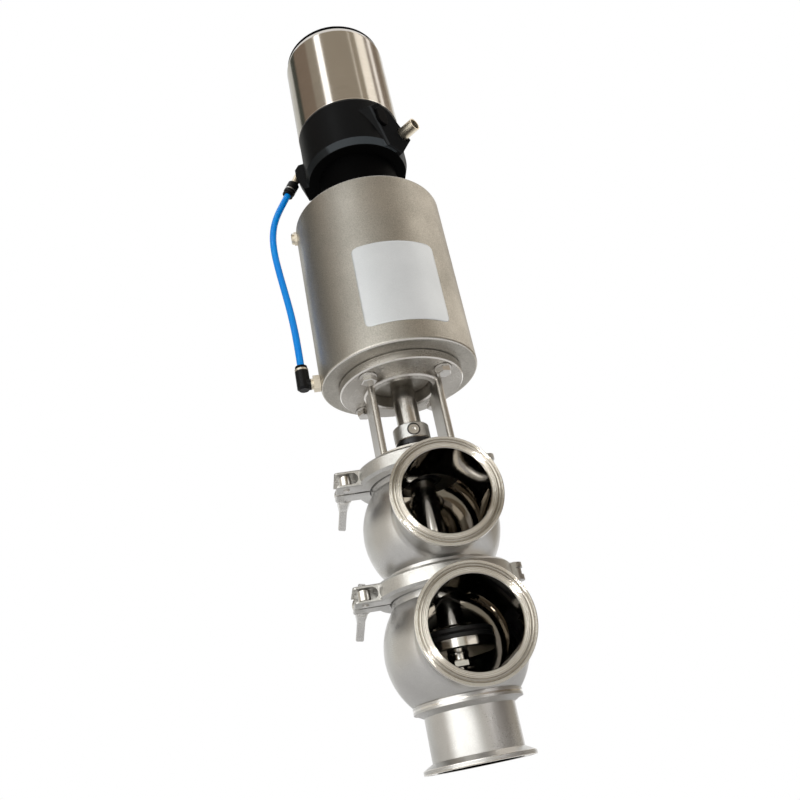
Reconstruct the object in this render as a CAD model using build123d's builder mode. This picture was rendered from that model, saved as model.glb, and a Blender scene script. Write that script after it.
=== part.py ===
from build123d import *
from math import cos, pi, radians, sin, sqrt, tan
import os

os.makedirs("parts", exist_ok=True)

# Line tube and clamp ferrules, 2.5 inch size
tube_r = 31.75
tube_wall = 1.65
bore_r = tube_r - tube_wall
ferrule_r = 38.75
ferrule_rim = 2.85
ferrule_depth = 6.35
ferrule_edge = 0.4
ferrule_groove_r = 35.3
ferrule_groove_size = 1.3

# Ball chambers and the line ports
ball_r = 51.6
ball_wall = 3.0
ball_inner_r = ball_r - ball_wall
lower_port_z = 78.0
port_spacing = 87.6
upper_port_z = lower_port_z + port_spacing
port_reach = 85.0
weld_fillet = 2.2
collar_ring_r = 38.4
collar_ring_height = 4.6
collar_ring_z = 38.0

# Clamped joints between the bodies and under the yoke
joint_rise = port_spacing / 2
lower_joint_z = lower_port_z + joint_rise
upper_joint_z = upper_port_z + joint_rise
neck_r = 40.0
flange_r = 45.5
flange_rim = 2.9
flange_slope = 20.0
flange_depth = flange_rim + (flange_r - neck_r) * tan(radians(flange_slope))
gasket_inner_r = 33.0
gasket_outer_r = 36.4
gasket_half = 1.2
gasket_gap = 0.1

# Clamps: two halves, a link hinge on the right and a swing bolt on the left
clamp_r = 51.5
clamp_height = 13.0
clamp_lip_r = 41.0
clamp_bevel = 2.0
clamp_gap = 0.15
clamp_split = 3.0
lug_out_x = -67.3
lug_in_x = -46.0
lug_seat_y = 15.5
lug_round = 2.5
lug_edge = 1.2
bolt_x = -59.5
lug_pin_y = -9.0
lug_pin_r = 2.5
lug_pin_stand = 1.2
eye_r = 4.7
eye_gap = 0.1
slot_end_gap = 0.5
bolt_r = 4.0
bolt_slot_gap = 0.6
bolt_end_y = 33.0
link_x = 54.0
link_pin_y = 6.4
link_pin_r = 1.8
link_r = 4.2
knuckle_r = 5.4
link_thick = 5.0
link_gap = 0.2
fit_gap = 0.05

# Wing nut
nut_seat_gap = 1.0
nut_hub_r = 7.5
nut_tip_r = 6.0
nut_hub_length = 13.5
wing_thick = 6.0
wing_edge = 0.7
wing_angle = 11.5
wing_tip_r = 21.5
wing_sweep = 13.5
wing_round = 2.2
wing_chord = 6.1
wing_root_r = 12.0
wing_root_thick = 9.6

# Bonnet
bonnet_top_rise = 8.6
bonnet_boss_r = 17.0
bonnet_boss_rise = 14.0
spigot_r = bore_r - 0.2
spigot_drop = 5.5
stem_bush_r = 13.0
stem_bush_length = 12.0
stem_seal_r = 15.0
stem_seal_length = 7.0

# Yoke
leg_width = 38.0
leg_thick = 5.4
leg_edge = 2.2
leg_left_x = -24.4
leg_right_x = 24.4
foot_r = 38.5
foot_inner_r = 20.0
foot_thick = 4.0
yoke_disc_r = 51.2
yoke_disc_low = 286.4
yoke_disc_thick = 7.1
yoke_step_r = 49.0
yoke_ring_r = 32.3
yoke_ring_inner_r = 25.1
yoke_ring_drop = 4.6
bolt_ring_r = 42.5
yoke_bolt_r = 4.0
yoke_bolt_across = 11.0
yoke_bolt_head = 5.3
yoke_bolt_length = 12.0
washer_r = 6.9
washer_thick = 1.6
spot_face_r = 7.5
spot_face_depth = 0.6

# Stem, coupling and plug
stem_r = 9.5
stem_tail_r = 5.0
stem_end_z = 60.0
rod_joint_z = 243.0
collar_r = 14.5
collar_low = 237.4
collar_high = 250.3
collar_slit = 1.6
collar_screw_r = 2.5
collar_screw_head_r = 4.2
ring_r = 14.0
ring_low = 228.2
ring_gap = 0.4
plug_r = 28.0
plug_low = 72.8
plug_thick = 6.9
plug_hub_r = 7.5
plug_hub_drop = 5.0
seal_r = 28.5
seal_thick = 7.4
seal_groove = 0.9
retainer_r = 22.5
retainer_hub_r = 17.5
retainer_thick = 3.0
nut_across = 17.0
plug_nut_thick = 5.0
lift = 30.0
seat_bore_r = 26.5
seat_gap = 0.05

# Actuator
shell_r = 65.2
shell_wall = 3.0
shell_inner_r = shell_r - shell_wall
shell_low = 294.3
shell_high = 457.4
shell_lip_r = 56.0
shell_lip = 3.0
shell_round = 2.5
cap_thick = 10.0
cap_boss_r = 25.0
cap_boss_low = 292.4
rod_bush_r = 11.6
rod_seal_r = 14.0
rod_seal_length = 6.0
piston_low = 312.0
piston_thick = 18.0
piston_rim = 3.5
piston_web = 7.0
piston_gap = 0.3
piston_hub_r = 19.0
piston_seal_depth = 4.0
piston_seal_thick = 4.0
guide_depth = 1.6
guide_thick = 5.0
rod_neck_r = 8.0
rod_top_r = 6.0
piston_nut_across = 27.0
piston_nut_thick = 9.0
spring_r = 44.0
spring_wire_r = 4.2
spring_turns = 5
air_hole_r = 4.1
vent_z = 448.7
vent_r = 6.0
vent_stand = 4.8
vent_thread_r = 4.0
thread_depth = 8.0

# Control head
adapter_r = 36.0
adapter_wall = 4.0
base_low = 510.0
base_r = 48.0
base_chamfer = 8.0
base_foot_r = base_r - 2.4
base_high = 562.4
base_wall = 3.0
base_floor = 6.0
head_r = base_r + 0.4
head_length = 96.0
head_shoulder_r = head_r - 1.8
head_shoulder = 7.6
lid_r = head_shoulder_r + 0.2
lid_thick = 3.0
head_wall = 1.5
cap_seal_thick = 1.2
rod_end_z = 545.0
target_r = 8.0
target_thick = 6.0
target_way = 20.0
console_azimuth = -50.0
console_reach = base_r + 2.0
console_depth = 12.0
console_side_rise = 24.8
connector_t = 17.4
connector_z = 536.5
connector_r = 5.9
connector_length = 15.4
connector_wall = 1.1
connector_recess = 3.0
blind_t = -10.9
blind_z = 541.5
blind_width = 13.5
blind_height = 20.0
blind_stand = 2.6
blind_shank_r = 5.0
port_block_azimuth = 163.0
port_block_reach = base_r + 8.0
port_block_foot = base_r + 2.5
port_block_width = 18.0
port_block_high = 540.0
port_block_low = 510.0

# Push-in fittings and the blue air tube
tube_od_r = 3.0
tube_id_r = 2.0
elbow_x = -(shell_r + 13.6)
elbow_z = 299.3
elbow_hex_across = 12.0
elbow_body_r = 5.6
elbow_hex_out = -elbow_x - shell_r - elbow_body_r - 0.4
elbow_top_z = 315.5
release_r = 4.3
release_lip_r = 5.0
release_lip = 1.2
release_bore_r = 3.12
release_travel = 1.2
release_depth = 4.0
tube_seat_depth = 5.5
head_port = (-base_r - 8.6, 13.0, 526.6)
head_port_lean = 30.3
head_stub_r = 3.6
head_stub_length = 4.5
head_stub_depth = 6.0
head_body_length = 12.5
head_body_r = 5.4

# Inside the control head
board_width = 46.0
board_thick = 1.6
board_height = 110.0
board_gap = 8.0
block_width = 30.0
block_depth = 22.0
block_height = 60.0
block_gap = 17.0


def half_section(corners, plane=Plane.XZ):
    """A closed half section from (radius, height) corners."""
    with BuildSketch(plane) as section:
        with BuildLine():
            Polyline(*corners, close=True)
        make_face()
    return section.sketch


def ring_section(inner, outer, low, high):
    """The half section of a plain ring about the valve's axis."""
    return half_section([(inner, low), (outer, low), (outer, high), (inner, high)])


def groove_section(radius, height, size):
    """The half section of a round gasket groove in a ferrule's face."""
    with BuildSketch(Plane.XZ) as section:
        with Locations((radius, height)):
            Circle(size)
    return section.sketch


def on_ball(centre_z, sphere_r, height):
    """The (radius, height) point where a sphere on the axis has this height."""
    return (sqrt(sphere_r**2 - (height - centre_z) ** 2), height)


def at_radius(centre_z, sphere_r, radius, side):
    """The (radius, height) point where a sphere on the axis has this radius."""
    return (radius, centre_z + side * sqrt(sphere_r**2 - radius**2))


def save(part, name):
    """Labels a finished piece and writes it under its own name."""
    part.label = name
    export_step(part, f"parts/{name}.step")


def port_outline(plane):
    """Half section of a side port: a tube with a clamp ferrule on its end."""
    weld_start = at_radius(0, ball_r, tube_r + weld_fillet, 1)
    weld_end = (tube_r, at_radius(0, ball_r, tube_r, 1)[1] + weld_fillet)
    weld_middle = (tube_r + weld_fillet * 0.3, weld_end[1] - weld_fillet * 0.8)
    with BuildSketch(plane) as section:
        with BuildLine():
            Polyline((0, ball_r / 2), (tube_r + weld_fillet, ball_r / 2), weld_start)
            ThreePointArc(weld_start, weld_middle, weld_end)
            Polyline(
                weld_end,
                (tube_r, port_reach - ferrule_depth),
                (ferrule_r, port_reach - ferrule_rim),
                (ferrule_r, port_reach - ferrule_edge),
                (ferrule_r - ferrule_edge, port_reach),
                (0, port_reach),
                (0, ball_r / 2),
            )
        make_face()
    return section.sketch


def flange_below(joint_z):
    """Corners of a body flange that ends upwards in a clamped joint."""
    return [
        (neck_r, joint_z - flange_depth),
        (flange_r, joint_z - flange_rim),
        (flange_r, joint_z),
    ]


def flange_above(joint_z):
    """Corners of a body flange that starts upwards from a clamped joint."""
    return [
        (flange_r, joint_z),
        (flange_r, joint_z + flange_rim),
        (neck_r, joint_z + flange_depth),
    ]


def gasket_groove(joint_z):
    """Half section of the seat that two flanges leave for their gasket."""
    return ring_section(gasket_inner_r, gasket_outer_r, joint_z - gasket_half, joint_z + gasket_half)


def chamber(port_z, low_end, high_end, void_low, void_high):
    """A ball chamber: turned shell with a side port, hollowed by its own void."""
    port_plane = Plane(origin=(0, 0, port_z), x_dir=(1, 0, 0), z_dir=(0, 0, -1))
    port_axis = Axis((0, 0, port_z), (0, -1, 0))
    with BuildPart() as body:
        with BuildSketch(Plane.XZ):
            with BuildLine():
                Polyline((0, low_end[0][1]), *low_end)
                ThreePointArc(low_end[-1], (ball_r, port_z), high_end[0])
                Polyline(*high_end, (0, high_end[-1][1]), (0, low_end[0][1]))
            make_face()
        revolve(axis=Axis.Z)
        revolve(port_outline(port_plane), axis=port_axis)
        with BuildSketch(Plane.XZ):
            with BuildLine():
                Polyline((0, void_low[0][1]), *void_low)
                ThreePointArc(void_low[-1], (ball_inner_r, port_z), void_high[0])
                Polyline(*void_high, (0, void_high[-1][1]), (0, void_low[0][1]))
            make_face()
        revolve(axis=Axis.Z, mode=Mode.SUBTRACT)
        mouth_r = bore_r + ferrule_edge
        bore = half_section(
            [
                (0, 0),
                (bore_r, 0),
                (bore_r, port_reach - ferrule_edge),
                (mouth_r, port_reach),
                (0, port_reach),
            ],
            port_plane,
        )
        revolve(bore, axis=port_axis, mode=Mode.SUBTRACT)
        with BuildSketch(port_plane) as face_groove:
            with Locations((ferrule_groove_r, port_reach)):
                Circle(ferrule_groove_size)
        revolve(face_groove.sketch, axis=port_axis, mode=Mode.SUBTRACT)
    return body.part


# Lower body: bottom pipe end, collar ring, ball and the seat under the joint
seal_high = plug_low + plug_thick + seal_thick
seat_z = seal_high + lift + seat_gap
seat_cone_z = seat_z + 2.5
lower_shape = chamber(
    lower_port_z,
    [
        (ferrule_r - ferrule_edge, 0),
        (ferrule_r, ferrule_edge),
        (ferrule_r, ferrule_rim),
        (tube_r, ferrule_depth),
        (tube_r, collar_ring_z - 3.0),
        (collar_ring_r - 2.4, collar_ring_z - 0.6),
        (collar_ring_r, collar_ring_z),
        (collar_ring_r, collar_ring_z + collar_ring_height),
        on_ball(lower_port_z, ball_r, collar_ring_z + collar_ring_height),
    ],
    [at_radius(lower_port_z, ball_r, neck_r, 1)] + flange_below(lower_joint_z),
    [(bore_r, -1), at_radius(lower_port_z, ball_inner_r, bore_r, -1)],
    [
        on_ball(lower_port_z, ball_inner_r, seat_z),
        (seat_bore_r, seat_z),
        (seat_bore_r, seat_cone_z),
        (bore_r, lower_joint_z),
        (bore_r, lower_joint_z + 1),
    ],
)
with BuildPart() as lower_body:
    add(lower_shape)
    revolve(groove_section(ferrule_groove_r, 0, ferrule_groove_size), axis=Axis.Z, mode=Mode.SUBTRACT)
    revolve(gasket_groove(lower_joint_z), axis=Axis.Z, mode=Mode.SUBTRACT)
save(lower_body.part, "lower_body")

# Upper body: ball between the two clamped joints
upper_shape = chamber(
    upper_port_z,
    flange_above(lower_joint_z) + [at_radius(upper_port_z, ball_r, neck_r, -1)],
    [at_radius(upper_port_z, ball_r, neck_r, 1)] + flange_below(upper_joint_z),
    [(bore_r, lower_joint_z - 1), at_radius(upper_port_z, ball_inner_r, bore_r, -1)],
    [at_radius(upper_port_z, ball_inner_r, bore_r, 1), (bore_r, upper_joint_z + 1)],
)
with BuildPart() as upper_body:
    add(upper_shape)
    revolve(gasket_groove(lower_joint_z), axis=Axis.Z, mode=Mode.SUBTRACT)
    revolve(gasket_groove(upper_joint_z), axis=Axis.Z, mode=Mode.SUBTRACT)
save(upper_body.part, "upper_body")

# Bonnet: closes the upper chamber, guides the stem and carries the yoke
bonnet_top = upper_joint_z + bonnet_top_rise
boss_top = upper_joint_z + bonnet_boss_rise
bush_low = boss_top - stem_bush_length
with BuildPart() as bonnet:
    corners = [
        (0, upper_joint_z - spigot_drop),
        (spigot_r - 1.5, upper_joint_z - spigot_drop),
        (spigot_r, upper_joint_z - spigot_drop + 1.5),
        (spigot_r, upper_joint_z),
        *flange_above(upper_joint_z),
        (neck_r, bonnet_top),
        (bonnet_boss_r, bonnet_top),
        (bonnet_boss_r, boss_top - 1),
        (bonnet_boss_r - 1, boss_top),
        (0, boss_top),
    ]
    revolve(half_section(corners), axis=Axis.Z)
    revolve(gasket_groove(upper_joint_z), axis=Axis.Z, mode=Mode.SUBTRACT)
    revolve(ring_section(0, stem_r + 0.5, 0, boss_top + 1), axis=Axis.Z, mode=Mode.SUBTRACT)
    revolve(ring_section(0, stem_bush_r, bush_low, boss_top + 1), axis=Axis.Z, mode=Mode.SUBTRACT)
    seal_void = ring_section(0, stem_seal_r, 0, upper_joint_z - spigot_drop + stem_seal_length)
    revolve(seal_void, axis=Axis.Z, mode=Mode.SUBTRACT)
save(bonnet.part, "bonnet")

with BuildPart() as stem_bush:
    revolve(ring_section(stem_r + fit_gap, stem_bush_r - fit_gap, bush_low, boss_top), axis=Axis.Z)
save(stem_bush.part, "stem_bush")

with BuildPart() as stem_seal:
    low = upper_joint_z - spigot_drop
    high = low + stem_seal_length
    lip = [
        (stem_r + fit_gap, low),
        (stem_r + 1.6, low - 1.0),
        (stem_seal_r - fit_gap, low),
        (stem_seal_r - fit_gap, high),
        (stem_r + fit_gap, high),
    ]
    revolve(half_section(lip), axis=Axis.Z)
save(stem_seal.part, "stem_seal")

with BuildPart() as body_gaskets:
    for joint_z in (lower_joint_z, upper_joint_z):
        inner = gasket_inner_r + gasket_gap
        outer = gasket_outer_r - gasket_gap
        revolve(ring_section(inner, outer, joint_z - gasket_half, joint_z + gasket_half), axis=Axis.Z)
save(body_gaskets.part, "body_gaskets")


def clamp_half(joint_z, side):
    """Half of a clamp; side is -1 for the front half and 1 for the rear half."""
    low = joint_z - clamp_height / 2
    high = joint_z + clamp_height / 2
    split_y = side * clamp_split / 2
    slot_half = bolt_r + bolt_slot_gap
    swing_r = lug_seat_y - lug_pin_y
    lip_z = flange_depth + clamp_gap
    arc_middle = 1 - sqrt(0.5)
    with BuildPart() as half:
        band = [
            (clamp_lip_r, low),
            (clamp_r - clamp_bevel, low),
            (clamp_r, low + clamp_bevel),
            (clamp_r, high - clamp_bevel),
            (clamp_r - clamp_bevel, high),
            (clamp_lip_r, high),
        ]
        revolve(half_section(band), axis=Axis.Z)
        with BuildSketch(Plane.XY.offset(low)):
            with BuildLine():
                if side < 0:
                    front_y = -lug_seat_y
                    Polyline((lug_in_x, 0), (lug_out_x, 0), (lug_out_x, front_y + lug_round))
                    ThreePointArc(
                        (lug_out_x, front_y + lug_round),
                        (lug_out_x + lug_round * arc_middle, front_y + lug_round * arc_middle),
                        (lug_out_x + lug_round, front_y),
                    )
                    Polyline((lug_out_x + lug_round, front_y), (lug_in_x, front_y), (lug_in_x, 0))
                else:
                    reach = bolt_x - lug_out_x
                    outer = (lug_out_x, lug_pin_y + sqrt(swing_r**2 - reach**2))
                    middle = (bolt_x - reach / 2, lug_pin_y + sqrt(swing_r**2 - reach**2 / 4))
                    Polyline((lug_in_x, 0), (lug_out_x, 0), outer)
                    ThreePointArc(outer, middle, (bolt_x, lug_seat_y))
                    Polyline((bolt_x, lug_seat_y), (lug_in_x, lug_seat_y), (lug_in_x, 0))
            make_face()
            with Locations((link_x, side * link_pin_y)):
                Circle(knuckle_r)
            root_x = clamp_lip_r + clamp_bevel
            with Locations(((root_x + link_x) / 2, side * (link_pin_y + knuckle_r) / 2)):
                Rectangle(link_x - root_x, link_pin_y + knuckle_r)
        extrude(amount=clamp_height)
        groove = [
            (0, low - 1),
            (clamp_lip_r, low - 1),
            (clamp_lip_r, joint_z - lip_z),
            (flange_r + clamp_gap * 2, joint_z - flange_rim - clamp_gap),
            (flange_r + clamp_gap * 2, joint_z + flange_rim + clamp_gap),
            (clamp_lip_r, joint_z + lip_z),
            (clamp_lip_r, high + 1),
            (0, high + 1),
        ]
        revolve(half_section(groove), axis=Axis.Z, mode=Mode.SUBTRACT)
        split(bisect_by=Plane(origin=(0, split_y, 0), z_dir=(0, side, 0)), keep=Keep.TOP)
        end_edges = half.edges().filter_by(Axis.Y)
        end_edges = end_edges.filter_by_position(Axis.X, lug_out_x - 0.1, lug_out_x + 0.1)
        rims = [edge for edge in end_edges if abs(abs(edge.center().Z - joint_z) - clamp_height / 2) < 0.1]
        fillet(rims, lug_edge)
        slot_in = bolt_x + (eye_r + slot_end_gap if side < 0 else 0)
        slot_plane = Plane(origin=(0, side * (lug_seat_y + 2), joint_z), x_dir=(1, 0, 0), z_dir=(0, -side, 0))
        with BuildSketch(slot_plane):
            with Locations((slot_in, 0)):
                Circle(slot_half)
            with Locations(((slot_in + lug_out_x) / 2 - 1, 0)):
                Rectangle(slot_in - lug_out_x + 2, 2 * slot_half)
        extrude(amount=lug_seat_y + 2, mode=Mode.SUBTRACT)
        with BuildSketch(Plane.XY.offset(joint_z - link_thick / 2 - link_gap)):
            with Locations((link_x, side * link_pin_y)):
                Circle(knuckle_r + fit_gap)
            with Locations((link_x + knuckle_r / 2, 0)):
                Rectangle(3 * knuckle_r, 2 * link_pin_y)
        extrude(amount=link_thick + 2 * link_gap, mode=Mode.SUBTRACT)
        with BuildSketch(Plane.XY.offset(low - 1)):
            with Locations((link_x, side * link_pin_y)):
                Circle(link_pin_r + fit_gap)
            if side < 0:
                with Locations((bolt_x, lug_pin_y)):
                    Circle(lug_pin_r + fit_gap)
        extrude(amount=clamp_height + 2, mode=Mode.SUBTRACT)
    return half.part


def pin(x, y, joint_z, radius):
    """A plain vertical pin that stands a little out of the clamp at both ends."""
    length = clamp_height + 2 * lug_pin_stand
    with BuildPart() as rod:
        with BuildSketch(Plane.XY.offset(joint_z - length / 2)):
            with Locations((x, y)):
                Circle(radius)
        extrude(amount=length)
        chamfer(rod.edges().filter_by(GeomType.CIRCLE), lug_pin_stand / 3)
    return rod.part


def swing_bolt(joint_z):
    """Bolt with a round eye that turns on the lug pin."""
    eye_height = 2 * (bolt_r + bolt_slot_gap - eye_gap)
    with BuildPart() as bolt:
        with BuildSketch(Plane.XY.offset(joint_z - eye_height / 2)):
            with Locations((bolt_x, lug_pin_y)):
                Circle(eye_r)
        extrude(amount=eye_height)
        chamfer(bolt.edges().filter_by(Plane.XY), 1.0)
        with BuildSketch(Plane(origin=(bolt_x, lug_pin_y, joint_z), x_dir=(1, 0, 0), z_dir=(0, 1, 0))):
            Circle(bolt_r)
        extrude(amount=bolt_end_y - lug_pin_y)
        chamfer(bolt.faces().sort_by(Axis.Y)[-1].edges(), 0.6)
        with BuildSketch(Plane.XY.offset(joint_z - eye_height)):
            with Locations((bolt_x, lug_pin_y)):
                Circle(lug_pin_r + fit_gap)
        extrude(amount=2 * eye_height, mode=Mode.SUBTRACT)
    return bolt.part


def wing_nut(joint_z):
    """Nut whose two wings sweep backwards, clear of the clamp band as it turns."""
    seat = lug_seat_y + nut_seat_gap
    end = seat + nut_hub_length
    far_y = end + wing_sweep
    root = nut_tip_r - 1.5
    hub_plane = Plane(origin=(bolt_x, 0, joint_z), x_dir=(1, 0, 0), z_dir=(0, 0, -1))
    bolt_axis = Axis((bolt_x, 0, joint_z), (0, 1, 0))
    hub = [
        (bolt_r + fit_gap, -seat),
        (nut_hub_r - 1, -seat),
        (nut_hub_r, -seat - 1),
        (nut_hub_r, -seat - 3),
        (nut_tip_r, -end + 1),
        (nut_tip_r - 1, -end),
        (bolt_r + fit_gap, -end),
    ]
    thread_way = [(0, -seat), (bolt_r + fit_gap, -seat), (bolt_r + fit_gap, -far_y - 1), (0, -far_y - 1)]
    ring_about_bolt = half_section(thread_way, hub_plane)
    with BuildPart() as nut:
        revolve(half_section(hub, hub_plane), axis=bolt_axis)
        for turn in (0, 180):
            lean = radians(wing_angle + turn)
            out = Vector(-sin(lean), 0, -cos(lean))
            wing_plane = Plane(origin=(bolt_x, 0, joint_z), x_dir=out, z_dir=out.cross(Vector(0, 1, 0)))
            with BuildPart() as wing:
                with BuildSketch(wing_plane):
                    with BuildLine():
                        near = (wing_tip_r - wing_round * 0.7, far_y - wing_chord)
                        middle = (wing_tip_r + 0.2, far_y - wing_round)
                        far = (wing_tip_r - wing_round * 1.45, far_y)
                        Polyline((root, seat + 2), (nut_hub_r + 0.5, seat + 2), near)
                        ThreePointArc(near, middle, far)
                        Polyline(far, (nut_hub_r, end + 2), (root, end - 1), (root, seat + 2))
                    make_face()
                extrude(amount=wing_thick / 2, both=True)
                outline = wing.faces().filter_by(Axis(wing_plane.origin, wing_plane.z_dir)).edges()
                chamfer([edge for edge in outline if edge.center().Y > end - 5], wing_edge)
            add(wing.part)
            with BuildPart() as web:
                inner_end = (root, wing_root_thick, seat + 2)
                outer_end = (wing_root_r, wing_thick - 2 * wing_edge, seat + 6)
                for reach, thick, start in (inner_end, outer_end):
                    middle_y = start + nut_hub_length / 2 - 1
                    place = Vector(bolt_x, middle_y, joint_z) + out * reach
                    with BuildSketch(Plane(origin=place, x_dir=(0, 1, 0), z_dir=out)):
                        Rectangle(nut_hub_length - 3, thick)
                loft(ruled=True)
            add(web.part)
        revolve(ring_about_bolt, axis=bolt_axis, mode=Mode.SUBTRACT)
    return nut.part


for level, joint_z in (("lower", lower_joint_z), ("upper", upper_joint_z)):
    save(clamp_half(joint_z, -1), f"{level}_clamp_front")
    save(clamp_half(joint_z, 1), f"{level}_clamp_rear")
    save(swing_bolt(joint_z), f"{level}_swing_bolt")
    save(wing_nut(joint_z), f"{level}_wing_nut")

# Pins and links of both clamps
with BuildPart() as lug_pins:
    for joint_z in (lower_joint_z, upper_joint_z):
        add(pin(bolt_x, lug_pin_y, joint_z, lug_pin_r))
save(lug_pins.part, "lug_pins")

with BuildPart() as link_pins:
    for joint_z in (lower_joint_z, upper_joint_z):
        add(pin(link_x, -link_pin_y, joint_z, link_pin_r))
        add(pin(link_x, link_pin_y, joint_z, link_pin_r))
save(link_pins.part, "link_pins")

with BuildPart() as hinge_links:
    for joint_z in (lower_joint_z, upper_joint_z):
        with BuildSketch(Plane.XY.offset(joint_z - link_thick / 2)):
            with Locations((link_x, 0)):
                SlotCenterToCenter(2 * link_pin_y, 2 * link_r, rotation=90)
            with Locations((link_x, -link_pin_y), (link_x, link_pin_y)):
                Circle(link_pin_r + fit_gap, mode=Mode.SUBTRACT)
        extrude(amount=link_thick)
save(hinge_links.part, "hinge_links")

# Yoke: foot ring, two flat legs and the round flange under the actuator
yoke_disc_high = yoke_disc_low + yoke_disc_thick
with BuildPart() as yoke:
    revolve(ring_section(foot_inner_r, foot_r, bonnet_top, bonnet_top + foot_thick), axis=Axis.Z)
    leg_low = bonnet_top + foot_thick / 2
    for inner_x in (leg_left_x, leg_right_x):
        out = 1 if inner_x > 0 else -1
        with BuildSketch(Plane.XY.offset(leg_low)):
            with Locations((inner_x + out * leg_thick / 2, 0)):
                RectangleRounded(leg_thick, leg_width, leg_edge)
        extrude(amount=yoke_disc_low - leg_low + 1)
    disc = [
        (yoke_ring_inner_r, yoke_disc_low - yoke_ring_drop + 1.5),
        (yoke_ring_inner_r + 1.5, yoke_disc_low - yoke_ring_drop),
        (yoke_ring_r - 1.5, yoke_disc_low - yoke_ring_drop),
        (yoke_ring_r, yoke_disc_low - yoke_ring_drop + 1.5),
        (yoke_ring_r, yoke_disc_low),
        (yoke_disc_r - 1, yoke_disc_low),
        (yoke_disc_r, yoke_disc_low + 1),
        (yoke_disc_r, yoke_disc_high),
        (yoke_step_r, yoke_disc_high),
        (yoke_step_r, shell_low),
        (yoke_ring_inner_r, shell_low),
    ]
    revolve(half_section(disc), axis=Axis.Z)
    with BuildSketch(Plane.XY.offset(yoke_disc_low - 1)):
        with PolarLocations(bolt_ring_r, 4, start_angle=45):
            Circle(spot_face_r)
    extrude(amount=1 + spot_face_depth, mode=Mode.SUBTRACT)
    with BuildSketch(Plane.XY.offset(yoke_disc_low - 1)):
        with PolarLocations(bolt_ring_r, 4, start_angle=45):
            Circle(yoke_bolt_r + fit_gap)
    extrude(amount=yoke_disc_thick + 4, mode=Mode.SUBTRACT)
save(yoke.part, "yoke")

washer_high = yoke_disc_low + spot_face_depth
washer_low = washer_high - washer_thick
with BuildPart() as yoke_washers:
    with BuildSketch(Plane.XY.offset(washer_low)):
        with PolarLocations(bolt_ring_r, 4, start_angle=45):
            Circle(washer_r)
            Circle(yoke_bolt_r + fit_gap, mode=Mode.SUBTRACT)
    extrude(amount=washer_thick)
save(yoke_washers.part, "yoke_washers")

with BuildPart() as yoke_bolts:
    with BuildSketch(Plane.XY.offset(washer_low - yoke_bolt_head)):
        with PolarLocations(bolt_ring_r, 4, start_angle=45):
            RegularPolygon(yoke_bolt_across / 2, 6, major_radius=False)
    extrude(amount=yoke_bolt_head)
    chamfer(yoke_bolts.faces().group_by(Axis.Z)[0].edges(), 0.6)
    with BuildSketch(Plane.XY.offset(washer_low - 1)):
        with PolarLocations(bolt_ring_r, 4, start_angle=45):
            Circle(yoke_bolt_r)
    extrude(amount=1 + yoke_bolt_length)
save(yoke_bolts.part, "yoke_bolts")

# Plug stem with its threaded tail, and the stack of plug pieces on it
retainer_high = seal_high + retainer_thick
with BuildPart() as plug_stem:
    corners = [
        (0, stem_end_z),
        (stem_tail_r - 1, stem_end_z),
        (stem_tail_r, stem_end_z + 1),
        (stem_tail_r, retainer_high),
        (stem_r, retainer_high),
        (stem_r, rod_joint_z),
        (0, rod_joint_z),
    ]
    revolve(half_section(corners), axis=Axis.Z)
save(plug_stem.part, "plug_stem")

plug_high = plug_low + plug_thick
with BuildPart() as plug_disc:
    corners = [
        (stem_tail_r + fit_gap, plug_low - plug_hub_drop),
        (plug_hub_r - 0.6, plug_low - plug_hub_drop),
        (plug_hub_r, plug_low - plug_hub_drop + 0.6),
        (plug_hub_r, plug_low - 1),
        (plug_hub_r + 1, plug_low),
        (plug_r - 1, plug_low),
        (plug_r, plug_low + 1),
        (plug_r, plug_high),
        (stem_tail_r + fit_gap, plug_high),
    ]
    revolve(half_section(corners), axis=Axis.Z)
save(plug_disc.part, "plug_disc")

with BuildPart() as plug_seal:
    middle = plug_high + seal_thick / 2
    corners = [
        (retainer_hub_r + fit_gap, plug_high),
        (seal_r - 0.6, plug_high),
        (seal_r, plug_high + 0.6),
        (seal_r, middle - seal_groove),
        (seal_r - seal_groove, middle),
        (seal_r, middle + seal_groove),
        (seal_r, seal_high - 0.6),
        (seal_r - 0.6, seal_high),
        (retainer_hub_r + fit_gap, seal_high),
    ]
    revolve(half_section(corners), axis=Axis.Z)
save(plug_seal.part, "plug_seal")

with BuildPart() as plug_retainer:
    corners = [
        (stem_tail_r + fit_gap, plug_high),
        (retainer_hub_r, plug_high),
        (retainer_hub_r, seal_high),
        (retainer_r, seal_high),
        (retainer_r, seal_high + 1),
        (retainer_r - 2, retainer_high),
        (stem_tail_r + fit_gap, retainer_high),
    ]
    revolve(half_section(corners), axis=Axis.Z)
save(plug_retainer.part, "plug_retainer")

nut_high = plug_low - plug_hub_drop
with BuildPart() as plug_nut:
    with BuildSketch(Plane.XY.offset(nut_high - plug_nut_thick)):
        RegularPolygon(nut_across / 2, 6, major_radius=False)
    extrude(amount=plug_nut_thick)
    chamfer(plug_nut.edges().filter_by(Plane.XY), 0.8)
    with BuildSketch(Plane.XY.offset(nut_high - plug_nut_thick)):
        Circle(stem_tail_r + fit_gap)
    extrude(amount=plug_nut_thick, mode=Mode.SUBTRACT)
save(plug_nut.part, "plug_nut")

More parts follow.
